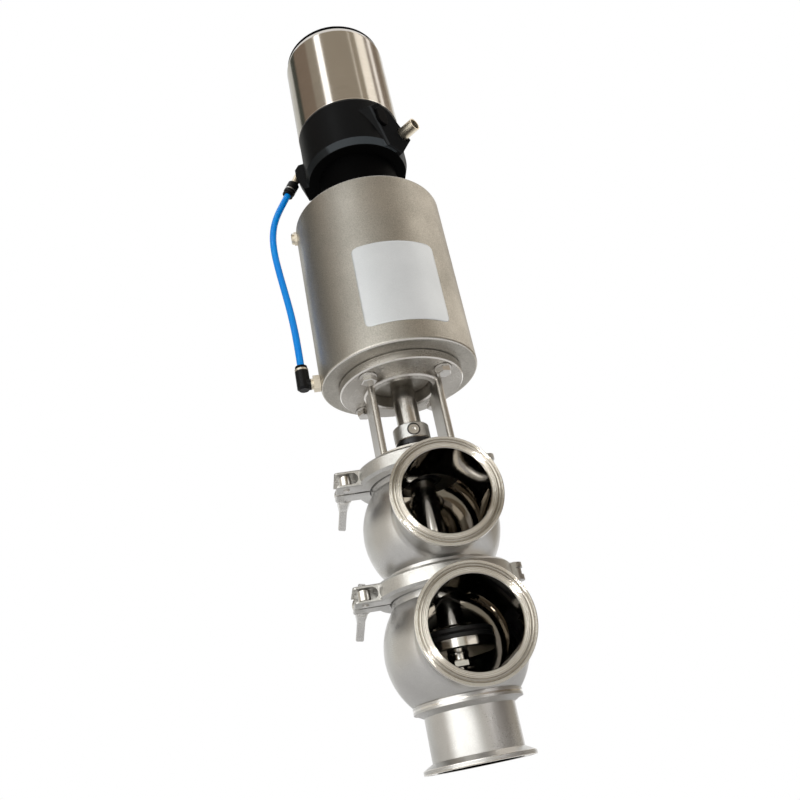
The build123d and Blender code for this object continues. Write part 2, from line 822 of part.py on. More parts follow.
# Split coupling collar with its socket screw, and the slotted ring below it
with BuildPart() as coupling_collar:
    revolve(ring_section(stem_r + fit_gap, collar_r, collar_low, collar_high), axis=Axis.Z)
    collar_rims = coupling_collar.edges().filter_by(GeomType.CIRCLE)
    chamfer(collar_rims.filter_by(lambda edge: edge.radius > collar_r - 1), 0.8)
    with BuildSketch(Plane.XY.offset(collar_low - 1)):
        with Locations((collar_r / 2, 0)):
            Rectangle(collar_r + 2, collar_slit)
    extrude(amount=collar_high - collar_low + 2, mode=Mode.SUBTRACT)
    screw_z = (collar_low + collar_high) / 2
    with BuildSketch(Plane.XZ.offset(stem_r - 1)):
        with Locations((0, screw_z)):
            Circle(collar_screw_r + fit_gap)
    extrude(amount=collar_r, mode=Mode.SUBTRACT)
    with BuildSketch(Plane.XZ.offset(collar_r - 2.6)):
        with Locations((0, screw_z)):
            Circle(collar_screw_head_r + fit_gap)
    extrude(amount=collar_r, mode=Mode.SUBTRACT)
save(coupling_collar.part, "coupling_collar")

with BuildPart() as collar_screw:
    with BuildSketch(Plane.XZ.offset(stem_r + 3 * fit_gap)):
        with Locations((0, screw_z)):
            Circle(collar_screw_r)
    extrude(amount=collar_r - 2.6 - stem_r)
    with BuildSketch(Plane.XZ.offset(collar_r - 2.6)):
        with Locations((0, screw_z)):
            Circle(collar_screw_head_r)
    extrude(amount=2.2)
    with BuildSketch(Plane.XZ.offset(collar_r - 2.0)):
        with Locations((0, screw_z)):
            RegularPolygon(2.0, 6)
    extrude(amount=3, mode=Mode.SUBTRACT)
save(collar_screw.part, "collar_screw")

with BuildPart() as slotted_ring:
    ring_high = collar_low - ring_gap
    revolve(ring_section(stem_r + fit_gap, ring_r, ring_low, ring_high), axis=Axis.Z)
    with BuildSketch(Plane.XY.offset(ring_low - 1)):
        with PolarLocations(ring_r, 6):
            Rectangle(3.2, 3.0)
    extrude(amount=(ring_high - ring_low) * 0.6 + 1, mode=Mode.SUBTRACT)
save(slotted_ring.part, "slotted_ring")

# Actuator: rolled shell, two caps, and the drilled ways for air
bottom_cap_low = shell_low + shell_lip
bottom_cap_high = bottom_cap_low + cap_thick
top_cap_high = shell_high - shell_lip
top_cap_low = top_cap_high - cap_thick
air_hole_end = shell_inner_r - 12


def air_way(z, inner_z):
    """A drilled way from the shell's left side to the chamber inside."""
    with BuildPart() as way:
        with BuildSketch(Plane(origin=(-shell_r - 1, 0, z), x_dir=(0, 1, 0), z_dir=(1, 0, 0))):
            Circle(air_hole_r)
        extrude(amount=shell_r + 1 - air_hole_end)
        with BuildSketch(Plane.XY.offset(min(z, inner_z))):
            with Locations((-air_hole_end - air_hole_r, 0)):
                Circle(air_hole_r - 1)
        extrude(amount=abs(inner_z - z))
    return way.part


lower_air_way = air_way(elbow_z + 2, bottom_cap_high + 1)
upper_air_way = air_way(vent_z, top_cap_low - 1)
with BuildPart() as actuator_shell:
    with BuildSketch(Plane.XZ) as wall:
        with BuildLine():
            Polyline(
                (shell_lip_r, shell_low),
                (shell_r, shell_low),
                (shell_r, shell_high),
                (shell_lip_r, shell_high),
                (shell_lip_r, top_cap_high),
                (shell_inner_r, top_cap_high),
                (shell_inner_r, bottom_cap_low),
                (shell_lip_r, bottom_cap_low),
                close=True,
            )
        make_face()
        fillet(wall.vertices().group_by(Axis.X)[-1], shell_round)
    revolve(axis=Axis.Z)
    add(lower_air_way, mode=Mode.SUBTRACT)
    add(upper_air_way, mode=Mode.SUBTRACT)
save(actuator_shell.part, "actuator_shell")

with BuildPart() as actuator_bottom_cap:
    corners = [
        (0, cap_boss_low),
        (cap_boss_r - 1, cap_boss_low),
        (cap_boss_r, cap_boss_low + 1),
        (cap_boss_r, shell_low),
        (shell_lip_r - fit_gap, shell_low),
        (shell_lip_r - fit_gap, bottom_cap_low),
        (shell_inner_r - fit_gap, bottom_cap_low),
        (shell_inner_r - fit_gap, bottom_cap_high),
        (0, bottom_cap_high),
    ]
    revolve(half_section(corners), axis=Axis.Z)
    revolve(ring_section(0, rod_bush_r, 0, bottom_cap_high + 1), axis=Axis.Z, mode=Mode.SUBTRACT)
    seat = bottom_cap_high - rod_seal_length
    revolve(ring_section(0, rod_seal_r, seat, bottom_cap_high + 1), axis=Axis.Z, mode=Mode.SUBTRACT)
    with BuildSketch(Plane.XY.offset(shell_low - 1)):
        with PolarLocations(bolt_ring_r, 4, start_angle=45):
            Circle(yoke_bolt_r + fit_gap)
    extrude(amount=yoke_bolt_length - (shell_low - washer_low) + 2, mode=Mode.SUBTRACT)
    add(lower_air_way, mode=Mode.SUBTRACT)
save(actuator_bottom_cap.part, "actuator_bottom_cap")

with BuildPart() as actuator_top_cap:
    corners = [
        (0, top_cap_low),
        (shell_inner_r - fit_gap, top_cap_low),
        (shell_inner_r - fit_gap, top_cap_high),
        (shell_lip_r - fit_gap, top_cap_high),
        (shell_lip_r - fit_gap, shell_high),
        (0, shell_high),
    ]
    revolve(half_section(corners), axis=Axis.Z)
    revolve(ring_section(0, rod_bush_r, 0, shell_high + 1), axis=Axis.Z, mode=Mode.SUBTRACT)
    add(upper_air_way, mode=Mode.SUBTRACT)
save(actuator_top_cap.part, "actuator_top_cap")

with BuildPart() as rod_bush_lower:
    revolve(ring_section(stem_r + fit_gap, rod_bush_r - fit_gap, cap_boss_low, seat), axis=Axis.Z)
save(rod_bush_lower.part, "rod_bush_lower")

with BuildPart() as rod_seal_lower:
    revolve(ring_section(stem_r + fit_gap, rod_seal_r - fit_gap, seat, bottom_cap_high), axis=Axis.Z)
save(rod_seal_lower.part, "rod_seal_lower")

with BuildPart() as rod_bush_upper:
    revolve(ring_section(rod_top_r + fit_gap, rod_bush_r - fit_gap, top_cap_low, shell_high), axis=Axis.Z)
save(rod_bush_upper.part, "rod_bush_upper")

# Piston, its seal and guide ring, the rod through it and the nut on top
piston_r = shell_inner_r - piston_gap
piston_high = piston_low + piston_thick
seal_low = piston_low + 2.5
guide_low = seal_low + piston_seal_thick + 2.0
web_high = piston_low + piston_web
piston_nut_low = piston_high
with BuildPart() as piston:
    corners = [
        (rod_neck_r + fit_gap, piston_low),
        (piston_r - 1, piston_low),
        (piston_r, piston_low + 1),
        (piston_r, seal_low),
        (piston_r - piston_seal_depth, seal_low),
        (piston_r - piston_seal_depth, seal_low + piston_seal_thick),
        (piston_r, seal_low + piston_seal_thick),
        (piston_r, guide_low),
        (piston_r - guide_depth, guide_low),
        (piston_r - guide_depth, guide_low + guide_thick),
        (piston_r, guide_low + guide_thick),
        (piston_r, piston_high),
        (piston_r - piston_rim, piston_high),
        (piston_r - piston_rim - 3, web_high),
        (piston_hub_r + 3, web_high),
        (piston_hub_r, piston_high),
        (rod_neck_r + fit_gap, piston_high),
    ]
    revolve(half_section(corners), axis=Axis.Z)
save(piston.part, "piston")

with BuildPart() as piston_seal:
    inner = piston_r - piston_seal_depth + gasket_gap
    high = seal_low + piston_seal_thick
    revolve(ring_section(inner, shell_inner_r - fit_gap, seal_low, high), axis=Axis.Z)
save(piston_seal.part, "piston_seal")

with BuildPart() as piston_guide_ring:
    inner = piston_r - guide_depth + gasket_gap
    high = guide_low + guide_thick
    revolve(ring_section(inner, shell_inner_r - fit_gap, guide_low, high), axis=Axis.Z)
save(piston_guide_ring.part, "piston_guide_ring")

with BuildPart() as actuator_rod:
    corners = [
        (0, rod_joint_z),
        (stem_r, rod_joint_z),
        (stem_r, piston_low),
        (rod_neck_r, piston_low),
        (rod_neck_r, piston_high + piston_nut_thick + 2),
        (rod_top_r, piston_high + piston_nut_thick + 2),
        (rod_top_r, rod_end_z),
        (0, rod_end_z),
    ]
    revolve(half_section(corners), axis=Axis.Z)
save(actuator_rod.part, "actuator_rod")

with BuildPart() as piston_nut:
    with BuildSketch(Plane.XY.offset(piston_nut_low)):
        RegularPolygon(piston_nut_across / 2, 6, major_radius=False)
        Circle(rod_neck_r + fit_gap, mode=Mode.SUBTRACT)
    extrude(amount=piston_nut_thick)
save(piston_nut.part, "piston_nut")

# Main spring between the piston's web and the top cap
spring_low = web_high + spring_wire_r
spring_high = top_cap_low - spring_wire_r
with BuildPart() as main_spring:
    with BuildLine() as coil:
        spring_height = spring_high - spring_low
        Helix(spring_height / spring_turns, spring_height, spring_r, center=(0, 0, spring_low))
    with BuildSketch(Plane(coil.line @ 0, z_dir=coil.line % 0)):
        Circle(spring_wire_r - 2 * fit_gap)
    sweep(is_frenet=True)
save(main_spring.part, "main_spring")

# Vent plug near the top of the shell
with BuildPart() as vent_plug:
    with BuildSketch(Plane(origin=(-shell_r, 0, vent_z), x_dir=(0, 1, 0), z_dir=(-1, 0, 0))):
        RegularPolygon(vent_r, 6)
    extrude(amount=vent_stand * 0.5)
    with BuildSketch(Plane(origin=(-shell_r, 0, vent_z), x_dir=(0, 1, 0), z_dir=(-1, 0, 0))):
        Circle(vent_r - 1)
    extrude(amount=vent_stand)
    chamfer(vent_plug.faces().sort_by(Axis.X)[0].edges(), 0.8)
    with BuildSketch(Plane(origin=(-shell_r, 0, vent_z), x_dir=(0, 1, 0), z_dir=(1, 0, 0))):
        Circle(vent_thread_r)
    extrude(amount=thread_depth)
save(vent_plug.part, "vent_plug")


def release_ring(plane):
    """Release ring of a push-in fitting; plane's normal points out of the fitting."""
    with BuildPart() as ring:
        with BuildSketch(plane.offset(-release_depth)):
            Circle(release_r - gasket_gap)
            Circle(release_bore_r, mode=Mode.SUBTRACT)
        extrude(amount=release_depth + release_travel + gasket_gap)
        with BuildSketch(plane.offset(release_travel + gasket_gap)):
            Circle(release_lip_r)
            Circle(release_bore_r, mode=Mode.SUBTRACT)
        extrude(amount=release_lip)
    return ring.part


# Push-in elbow at the foot of the actuator: hexagon, body and release ring
elbow_axis_z = elbow_z + 2
hex_plane = Plane(origin=(-shell_r, 0, elbow_axis_z), x_dir=(0, 1, 0), z_dir=(-1, 0, 0))
elbow_way_r = tube_id_r + 0.2
with BuildPart() as elbow_hex:
    with BuildSketch(hex_plane):
        RegularPolygon(elbow_hex_across / 2, 6, major_radius=False)
    extrude(amount=elbow_hex_out - 2)
    with BuildSketch(hex_plane):
        Circle(elbow_hex_across / 2 - 1.4)
    extrude(amount=elbow_hex_out)
    with BuildSketch(hex_plane):
        Circle(vent_thread_r)
    extrude(amount=-thread_depth)
    with BuildSketch(hex_plane.offset(-thread_depth)):
        Circle(elbow_way_r)
    extrude(amount=thread_depth + elbow_hex_out, mode=Mode.SUBTRACT)
save(elbow_hex.part, "elbow_hex")

elbow_back = -elbow_x - shell_r - elbow_hex_out
elbow_top = Plane(origin=(elbow_x, 0, elbow_top_z))
with BuildPart() as elbow_body:
    with BuildSketch(Plane.XY.offset(elbow_axis_z - elbow_body_r + 0.6)):
        with Locations((elbow_x, 0)):
            Circle(elbow_body_r)
    extrude(amount=elbow_top_z - elbow_axis_z + elbow_body_r - 0.6)
    chamfer(elbow_body.faces().sort_by(Axis.Z)[0].edges(), 1.6)
    with BuildSketch(hex_plane.offset(elbow_hex_out)):
        Circle(elbow_body_r - 0.9)
    extrude(amount=elbow_back)
    with BuildSketch(elbow_top):
        Circle(release_r)
    extrude(amount=-release_depth - release_travel - gasket_gap, mode=Mode.SUBTRACT)
    with BuildSketch(elbow_top):
        Circle(tube_od_r + fit_gap)
    extrude(amount=-release_depth - release_travel - tube_seat_depth, mode=Mode.SUBTRACT)
    with BuildSketch(elbow_top):
        Circle(elbow_way_r)
    extrude(amount=-(elbow_top_z - elbow_axis_z), mode=Mode.SUBTRACT)
    with BuildSketch(hex_plane.offset(elbow_hex_out)):
        Circle(elbow_way_r)
    extrude(amount=elbow_back, mode=Mode.SUBTRACT)
save(elbow_body.part, "elbow_body")
save(release_ring(elbow_top), "elbow_release_ring")

# Adapter neck between the actuator and the control head
with BuildPart() as head_adapter:
    corners = [
        (adapter_r - adapter_wall, shell_high),
        (adapter_r + 3, shell_high),
        (adapter_r + 3, shell_high + 4),
        (adapter_r, shell_high + 7),
        (adapter_r, base_low),
        (adapter_r - adapter_wall, base_low),
    ]
    revolve(half_section(corners), axis=Axis.Z)
save(head_adapter.part, "head_adapter")


def azimuth_plane(azimuth, reach, height=0.0, along=0.0):
    """A plane that faces outwards at an azimuth; its x runs sideways and its y upwards."""
    out = Vector(cos(radians(azimuth)), sin(radians(azimuth)), 0)
    side = Vector(-sin(radians(azimuth)), cos(radians(azimuth)), 0)
    origin = out * reach + side * along + Vector(0, 0, height)
    return Plane(origin=origin, x_dir=side, z_dir=out)


# Base of the control head: turned housing, console on the right, air port block behind left
console_face = azimuth_plane(console_azimuth, console_reach)
console_corners = [
    (-20.9, 549.6),
    (-5.5, base_low + 1.5),
    (11.0, base_low + 0.5),
    (27.3, base_low + console_side_rise),
    (4.0, base_high - 6.4),
    (-10.5, base_high - 2.8),
]
console_root = [
    (-28.6, 549.6),
    (-13.0, base_low + 1.5),
    (11.0, base_low + 0.5),
    (27.3, base_low + console_side_rise),
    (4.0, base_high - 6.4),
    (-14.5, base_high - 2.8),
]
blind_face = azimuth_plane(console_azimuth, console_reach, blind_z, blind_t)
connector_face = azimuth_plane(console_azimuth, console_reach - connector_recess, connector_z, connector_t)
port_block_side = azimuth_plane(port_block_azimuth + 90, -port_block_width / 2)
lean_sin = sin(radians(head_port_lean))
lean_cos = cos(radians(head_port_lean))
head_port_out = Vector(-lean_sin, 0, -lean_cos)
head_port_face = Plane(origin=Vector(*head_port), x_dir=(0, 1, 0), z_dir=head_port_out)
head_body_face = head_port_face.offset(head_stub_length)
head_end_face = head_body_face.offset(head_body_length)
with BuildPart() as head_base:
    corners = [
        (0, base_low),
        (base_foot_r, base_low),
        (base_r, base_low + base_chamfer),
        (base_r, base_high),
        (0, base_high),
    ]
    revolve(half_section(corners), axis=Axis.Z)
    with BuildSketch(console_face):
        Polygon(*console_corners, align=None)
    with BuildSketch(console_face.offset(-console_depth)):
        Polygon(*console_root, align=None)
    loft(ruled=True)
    with BuildSketch(port_block_side):
        with BuildLine():
            Polyline(
                (-base_r / 2, port_block_low),
                (-port_block_foot, port_block_low),
                (-port_block_reach, port_block_high - 13),
                (-port_block_reach, port_block_high - 5),
                (-port_block_reach + 4, port_block_high),
                (-base_r / 2, port_block_high),
                close=True,
            )
        make_face()
    extrude(amount=port_block_width)
    with BuildSketch(Plane.XY.offset(base_low + base_floor)):
        Circle(base_r - base_wall)
    extrude(amount=base_high, mode=Mode.SUBTRACT)
    with BuildSketch(Plane.XY.offset(base_low - target_way)):
        Circle(target_r + 1)
    extrude(amount=target_way + base_floor + 1, mode=Mode.SUBTRACT)
    with BuildSketch(connector_face):
        Circle(connector_r + 1.2)
    extrude(amount=connector_recess + 1, mode=Mode.SUBTRACT)
    with BuildSketch(connector_face):
        Circle(connector_r - connector_wall)
    extrude(amount=-connector_length, mode=Mode.SUBTRACT)
    with BuildSketch(blind_face):
        Circle(blind_shank_r + fit_gap)
    extrude(amount=-connector_length, mode=Mode.SUBTRACT)
    with BuildSketch(head_port_face):
        Circle(elbow_way_r)
    extrude(amount=-16, mode=Mode.SUBTRACT)
    with BuildSketch(head_body_face):
        Circle(head_stub_r + fit_gap)
    extrude(amount=-head_stub_depth - head_stub_length, mode=Mode.SUBTRACT)
save(head_base.part, "head_base")

with BuildPart() as cap_seal:
    cap_seal_high = base_high + cap_seal_thick
    revolve(ring_section(base_r - base_wall, base_r - gasket_gap, base_high, cap_seal_high), axis=Axis.Z)
save(cap_seal.part, "cap_seal")

# Steel cap of the control head and the black lid on its top
cap_low = base_high + cap_seal_thick
head_high = cap_low + head_length
with BuildPart() as head_cap:
    with BuildSketch(Plane.XZ):
        with BuildLine():
            shoulder_start = (head_r, head_high - head_shoulder)
            shoulder_middle = (head_r - 0.45, head_high - head_shoulder * 0.42)
            shoulder_end = (head_shoulder_r, head_high)
            Polyline((head_r - head_wall, cap_low), (head_r, cap_low), shoulder_start)
            ThreePointArc(shoulder_start, shoulder_middle, shoulder_end)
            Polyline(
                shoulder_end,
                (0, head_high),
                (0, head_high - head_wall),
                (head_shoulder_r - head_wall - 0.4, head_high - head_wall),
                (head_r - head_wall, head_high - head_shoulder),
                (head_r - head_wall, cap_low),
            )
        make_face()
    revolve(axis=Axis.Z)
save(head_cap.part, "head_cap")

with BuildPart() as cap_lid:
    with BuildSketch(Plane.XY.offset(head_high)):
        Circle(lid_r)
    extrude(amount=lid_thick)
    fillet(cap_lid.edges().group_by(Axis.Z)[-1], lid_thick / 4)
save(cap_lid.part, "cap_lid")

# Blind plug and electrical connector on the console
with BuildPart() as blind_plug:
    with BuildSketch(blind_face):
        SlotOverall(blind_height, blind_width, rotation=90)
    extrude(amount=blind_stand)
    fillet(blind_plug.faces().sort_by(Axis((0, 0, 0), blind_face.z_dir))[-1].edges(), 1.2)
    with BuildSketch(blind_face):
        Circle(blind_shank_r)
    extrude(amount=-thread_depth)
save(blind_plug.part, "blind_plug")

with BuildPart() as connector_shell:
    with BuildSketch(connector_face):
        Circle(connector_r)
    extrude(amount=connector_recess + connector_length)
    with BuildSketch(connector_face):
        Circle(connector_r - connector_wall)
    extrude(amount=connector_recess + connector_length, mode=Mode.SUBTRACT)
save(connector_shell.part, "connector_shell")

with BuildPart() as connector_insert:
    with BuildSketch(connector_face.offset(-2)):
        Circle(connector_r - connector_wall - fit_gap)
    extrude(amount=connector_recess + connector_length - 2)
save(connector_insert.part, "connector_insert")

# Push-in fitting behind the control head
with BuildPart() as head_fitting_stub:
    with BuildSketch(head_port_face.offset(-head_stub_depth)):
        Circle(head_stub_r)
        Circle(elbow_way_r, mode=Mode.SUBTRACT)
    extrude(amount=head_stub_depth + head_stub_length)
save(head_fitting_stub.part, "head_fitting_stub")

with BuildPart() as head_fitting_body:
    with BuildSketch(head_body_face):
        Circle(head_body_r)
    extrude(amount=head_body_length)
    chamfer(head_fitting_body.edges().filter_by(GeomType.CIRCLE), 0.8)
    with BuildSketch(head_end_face):
        Circle(release_r)
    extrude(amount=-release_depth - release_travel - gasket_gap, mode=Mode.SUBTRACT)
    with BuildSketch(head_end_face):
        Circle(tube_od_r + fit_gap)
    extrude(amount=-release_depth - release_travel - tube_seat_depth, mode=Mode.SUBTRACT)
    with BuildSketch(head_end_face):
        Circle(elbow_way_r)
    extrude(amount=-head_body_length, mode=Mode.SUBTRACT)
save(head_fitting_body.part, "head_fitting_body")
save(release_ring(head_end_face), "head_release_ring")

# Blue air tube from the control head's port down to the elbow
tube_inside = release_depth + release_travel + tube_seat_depth
tube_start = head_end_face.offset(-tube_inside).origin
first_run = 19.0
tube_second = tube_start + head_port_out * first_run
elbow_end = Vector(elbow_x, 0, elbow_top_z - tube_inside)
tube_route = [
    tube_start,
    tube_second,
    Vector(elbow_x - 2.1, 12.0, 482.6),
    Vector(elbow_x - 6.8, 10.5, 463.5),
    Vector(elbow_x - 7.8, 8.5, 443.5),
    Vector(elbow_x - 6.2, 6.5, 420.0),
    Vector(elbow_x - 3.8, 5.0, 397.0),
    Vector(elbow_x - 1.6, 3.0, 374.0),
    Vector(elbow_x - 0.3, 1.0, 350.0),
    elbow_end + Vector(0, 0, 21.0),
    elbow_end,
]
bend_radii = []
for before, corner, after in zip(tube_route, tube_route[1:], tube_route[2:]):
    turn = (corner - before).get_angle(after - corner)
    shorter = min((corner - before).length, (after - corner).length)
    bend_radii.append(0.45 * shorter / tan(radians(turn / 2)))
print("tube bend radii", [round(radius, 1) for radius in bend_radii])
with BuildPart() as air_tube:
    with BuildLine() as tube_path:
        FilletPolyline(*tube_route, radius=bend_radii)
    with BuildSketch(Plane(tube_path.line @ 0, z_dir=tube_path.line % 0)):
        Circle(tube_od_r)
        Circle(tube_id_r, mode=Mode.SUBTRACT)
    sweep()
tube_length = tube_path.wire().length
tube_section = pi * (tube_od_r**2 - tube_id_r**2)
print("tube length", tube_length, "volume", air_tube.part.volume, tube_section * tube_length)
save(air_tube.part, "air_tube")

# Inside the control head: sensor target on the rod, sensor board and solenoid block
with BuildPart() as sensor_target:
    with BuildSketch(Plane.XY.offset(rod_end_z)):
        Circle(target_r)
    extrude(amount=target_thick)
save(sensor_target.part, "sensor_target")

board_floor = base_low + base_floor
with BuildPart() as sensor_board:
    with BuildSketch(Plane.XY.offset(board_floor)):
        with Locations((0, target_r + board_gap)):
            Rectangle(board_width, board_thick)
    extrude(amount=board_height)
save(sensor_board.part, "sensor_board")

with BuildPart() as solenoid_block:
    with BuildSketch(Plane.XY.offset(board_floor)):
        with Locations((0, -target_r - block_gap)):
            Rectangle(block_width, block_depth)
    extrude(amount=block_height)
    fillet(solenoid_block.edges().filter_by(Axis.Z), 2)
save(solenoid_block.part, "solenoid_block")
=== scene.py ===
from math import cos, pi, radians, sin

import bpy
import numpy as np
from mathutils import Matrix, Vector


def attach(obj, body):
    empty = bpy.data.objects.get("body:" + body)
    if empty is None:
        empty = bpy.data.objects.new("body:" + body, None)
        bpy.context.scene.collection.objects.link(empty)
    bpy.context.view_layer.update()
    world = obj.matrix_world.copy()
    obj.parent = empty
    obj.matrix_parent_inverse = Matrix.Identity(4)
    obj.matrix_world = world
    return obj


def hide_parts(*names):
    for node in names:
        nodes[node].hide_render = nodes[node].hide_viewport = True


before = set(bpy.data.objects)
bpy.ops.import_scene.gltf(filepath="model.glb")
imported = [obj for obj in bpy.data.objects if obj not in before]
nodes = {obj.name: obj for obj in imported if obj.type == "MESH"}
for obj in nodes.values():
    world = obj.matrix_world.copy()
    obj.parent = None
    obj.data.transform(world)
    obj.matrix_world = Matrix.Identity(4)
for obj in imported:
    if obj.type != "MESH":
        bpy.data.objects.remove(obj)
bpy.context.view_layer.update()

# The two valve bodies are ball-shaped chambers of stainless steel with pipe ends welded on,
# bead blasted outside. Their insides are mirror polished for hygiene, and the ferrules are
# faced on a lathe, which leaves fine bright rings.
MM = 0.001
lower_port_z = 78.0 * MM
upper_port_z = 165.6 * MM
# These lie within a wall's thickness, so that what is nearer an axis or middle is the inside.
bore_r = 30.5 * MM
ball_skin_r = 50.1 * MM
port_bore_from = 30.0 * MM
# Beyond these the surface is a ferrule's face: outwards along the port, and down at the foot.
ferrule_reach = 79.2 * MM
ferrule_foot = 0.6 * MM
# Circles along which a highlight is painted on the steel, as (radius, height, width) in mm.
lower_body_edges = ((38.4, 40.3, 0.9), (38.75, 2.9, 0.6))
upper_body_edges = ((45.5, 124.7, 0.5),)
body_edge_highlight = (0.93, 0.91, 0.88)
body_edge_highlight_rough = 0.16
# A ring's colour and roughness go from dark to light with its lathe mark.
ring_dark = (0.34, 0.31, 0.27)
ring_light = (0.95, 0.91, 0.84)
ring_rough = 0.07
ring_swing = 0.10
ring_slope = 2.4
rings_per_metre = 2600.0
grooves_per_metre = 15000.0
# The polished inside is painted darker than the blasted outside, as shade for the chambers' dim inside.
polish_shade_dark = (0.40, 0.375, 0.34)
polish_shade_light = (0.52, 0.49, 0.45)
polish_clouds = 45.0
polish_rough = 0.03
polish_swing = 0.05
# Nearly all of a noise's values lie between these.
noise_low = 0.36
noise_high = 0.64
ring_noise_high = 0.62


def set_socket(tree, socket, value):
    """Feeds a socket from another one, or gives it a plain value; a colour is three numbers."""
    if isinstance(value, bpy.types.NodeSocket):
        tree.links.new(value, socket)
    elif socket.type == "RGBA":
        socket.default_value = (*value, 1.0)
    else:
        socket.default_value = value


def node(tree, kind, inputs=None, **settings):
    """Adds a shader node with its settings and with sockets or plain values on its inputs."""
    made = tree.nodes.new(kind)
    for key, value in settings.items():
        setattr(made, key, value)
    for key, value in (inputs or {}).items():
        set_socket(tree, made.inputs[key], value)
    return made


def shader_of(material):
    """The Principled shader of a material."""
    return material.node_tree.nodes["Principled BSDF"]


def new_material(name, **values):
    """A material with one Principled shader that has these plain values."""
    material = bpy.data.materials.new(name)
    material.use_nodes = True
    for key, value in values.items():
        set_socket(material.node_tree, shader_of(material).inputs[key.replace("_", " ")], value)
    return material


def dress(material, *names):
    """Gives carried CAD nodes a material in place of their plain one."""
    for name in names:
        mesh = nodes[name].data
        mesh.materials.clear()
        mesh.materials.append(material)


def number(tree, operation, *values):
    """The result of one Math node."""
    return node(tree, "ShaderNodeMath", dict(enumerate(values)), operation=operation).outputs[0]


def vector(tree, operation, first, second=None):
    """The result of one Vector Math node, which is a number for a length or a dot product."""
    inputs = {0: first}
    if second is not None:
        inputs["Scale" if operation == "SCALE" else 1] = second
    made = node(tree, "ShaderNodeVectorMath", inputs, operation=operation)
    return made.outputs["Value" if operation in ("LENGTH", "DOT_PRODUCT") else "Vector"]


def pair(tree, first, second):
    """A vector of two numbers, with zero as its third."""
    return node(tree, "ShaderNodeCombineXYZ", {0: first, 1: second}).outputs[0]


def blend(tree, share, low, high, kind="FLOAT"):
    """A mix from low to high by a share from 0 to 1; kind is FLOAT, VECTOR or RGBA."""
    first, result = {"FLOAT": (2, 0), "VECTOR": (4, 1), "RGBA": (6, 2)}[kind]
    made = node(tree, "ShaderNodeMix", {0: share, first: low, first + 1: high}, data_type=kind)
    return made.outputs[result]


def ramp(tree, value, start, end):
    """A share that is 0 at start and 1 at end, and is held at those beyond them."""
    inputs = {"Value": value, "From Min": start, "From Max": end}
    return node(tree, "ShaderNodeMapRange", inputs).outputs["Result"]


def noise(tree, place, scale, detail, roughness=0.5, dimensions="3D"):
    """A noise at a place, with a scale in steps per metre; in 1D the place is one number."""
    inputs = {"Scale": scale, "Detail": detail, "Roughness": roughness}
    inputs["W" if dimensions == "1D" else "Vector"] = place
    return node(tree, "ShaderNodeTexNoise", inputs, noise_dimensions=dimensions).outputs["Fac"]


def object_place(tree):
    """A surface point's place in metres, in the CAD's frame."""
    return node(tree, "ShaderNodeTexCoord").outputs["Object"]


def along(tree, place, way):
    """How far a place lies along a direction from the origin."""
    return vector(tree, "DOT_PRODUCT", place, way)


def distance(tree, place, across=(1, 1, 1)):
    """A place's distance from the origin, measured only on the axes that across has a 1 for."""
    return vector(tree, "LENGTH", vector(tree, "MULTIPLY", place, across))


def lay_over(material, label, share, value):
    """Blends a value over what feeds one input of a material's shader now."""
    tree = material.node_tree
    socket = shader_of(material).inputs[label]
    kind = "FLOAT" if socket.type == "VALUE" else socket.type
    tree.links.new(blend(tree, share, socket.links[0].from_socket, value, kind), socket)


def new_group(name, inputs, outputs):
    """An empty shader group with named sockets; returns it, what it is given and its results."""
    group = bpy.data.node_groups.new(name, "ShaderNodeTree")
    for direction, sockets in (("INPUT", inputs), ("OUTPUT", outputs)):
        for label, kind in sockets.items():
            group.interface.new_socket(label, in_out=direction, socket_type="NodeSocket" + kind)
    return group, node(group, "NodeGroupInput").outputs, node(group, "NodeGroupOutput").inputs


def use_group(tree, group, **inputs):
    """Places a shader group in a tree with its own values, and returns its outputs."""
    return node(tree, "ShaderNodeGroup", inputs, node_tree=group).outputs


# Surface finish: a fine grain that may be stretched into strokes, under slow clouds from
# handling and uneven blasting or moulding. Where it is lighter, it is also smoother.
surface_finish, given, result = new_group(
    "surface_finish",
    {
        "Light": "Color", "Dark": "Color", "Roughness": "Float", "Swing": "Float",
        "Grain": "Vector", "Clouds": "Float", "Depth": "Float", "Place": "Vector",
    },
    {"Base Color": "Color", "Roughness": "Float", "Normal": "Vector"},
)
tree = surface_finish
stretched = vector(tree, "MULTIPLY", given["Place"], given["Grain"])
grain = noise(tree, stretched, scale=1.0, detail=3.0, roughness=0.6)
clouds = noise(tree, given["Place"], given["Clouds"], detail=4.0, roughness=0.55)
mean = number(tree, "MULTIPLY", number(tree, "ADD", grain, clouds), 0.5)
lightness = ramp(tree, mean, noise_low, noise_high)
gloss = number(tree, "MULTIPLY", number(tree, "SUBTRACT", lightness, 0.5), given["Swing"])
bump = node(tree, "ShaderNodeBump", {"Height": grain, "Strength": 1.0, "Distance": given["Depth"]})
for label, value in (
    ("Base Color", blend(tree, lightness, given["Dark"], given["Light"], "RGBA")),
    ("Roughness", number(tree, "SUBTRACT", given["Roughness"], gloss)),
    ("Normal", bump.outputs["Normal"]),
):
    tree.links.new(value, result[label])


def finish(material, light, dark, rough, swing, grain, clouds, depth):
    """Gives a material the surface finish: its lightest and darkest tone, its roughness and how
    much that swings, its grain and clouds per metre, and the grain's depth in metres. A grain
    of three numbers is stretched into strokes."""
    tree = material.node_tree
    outputs = use_group(
        tree, surface_finish, Light=light, Dark=dark, Roughness=rough, Swing=swing,
        Grain=grain if isinstance(grain, tuple) else (grain, grain, grain),
        Clouds=clouds, Depth=depth, Place=object_place(tree),
    )
    for output in outputs:
        tree.links.new(output, shader_of(material).inputs[output.name])


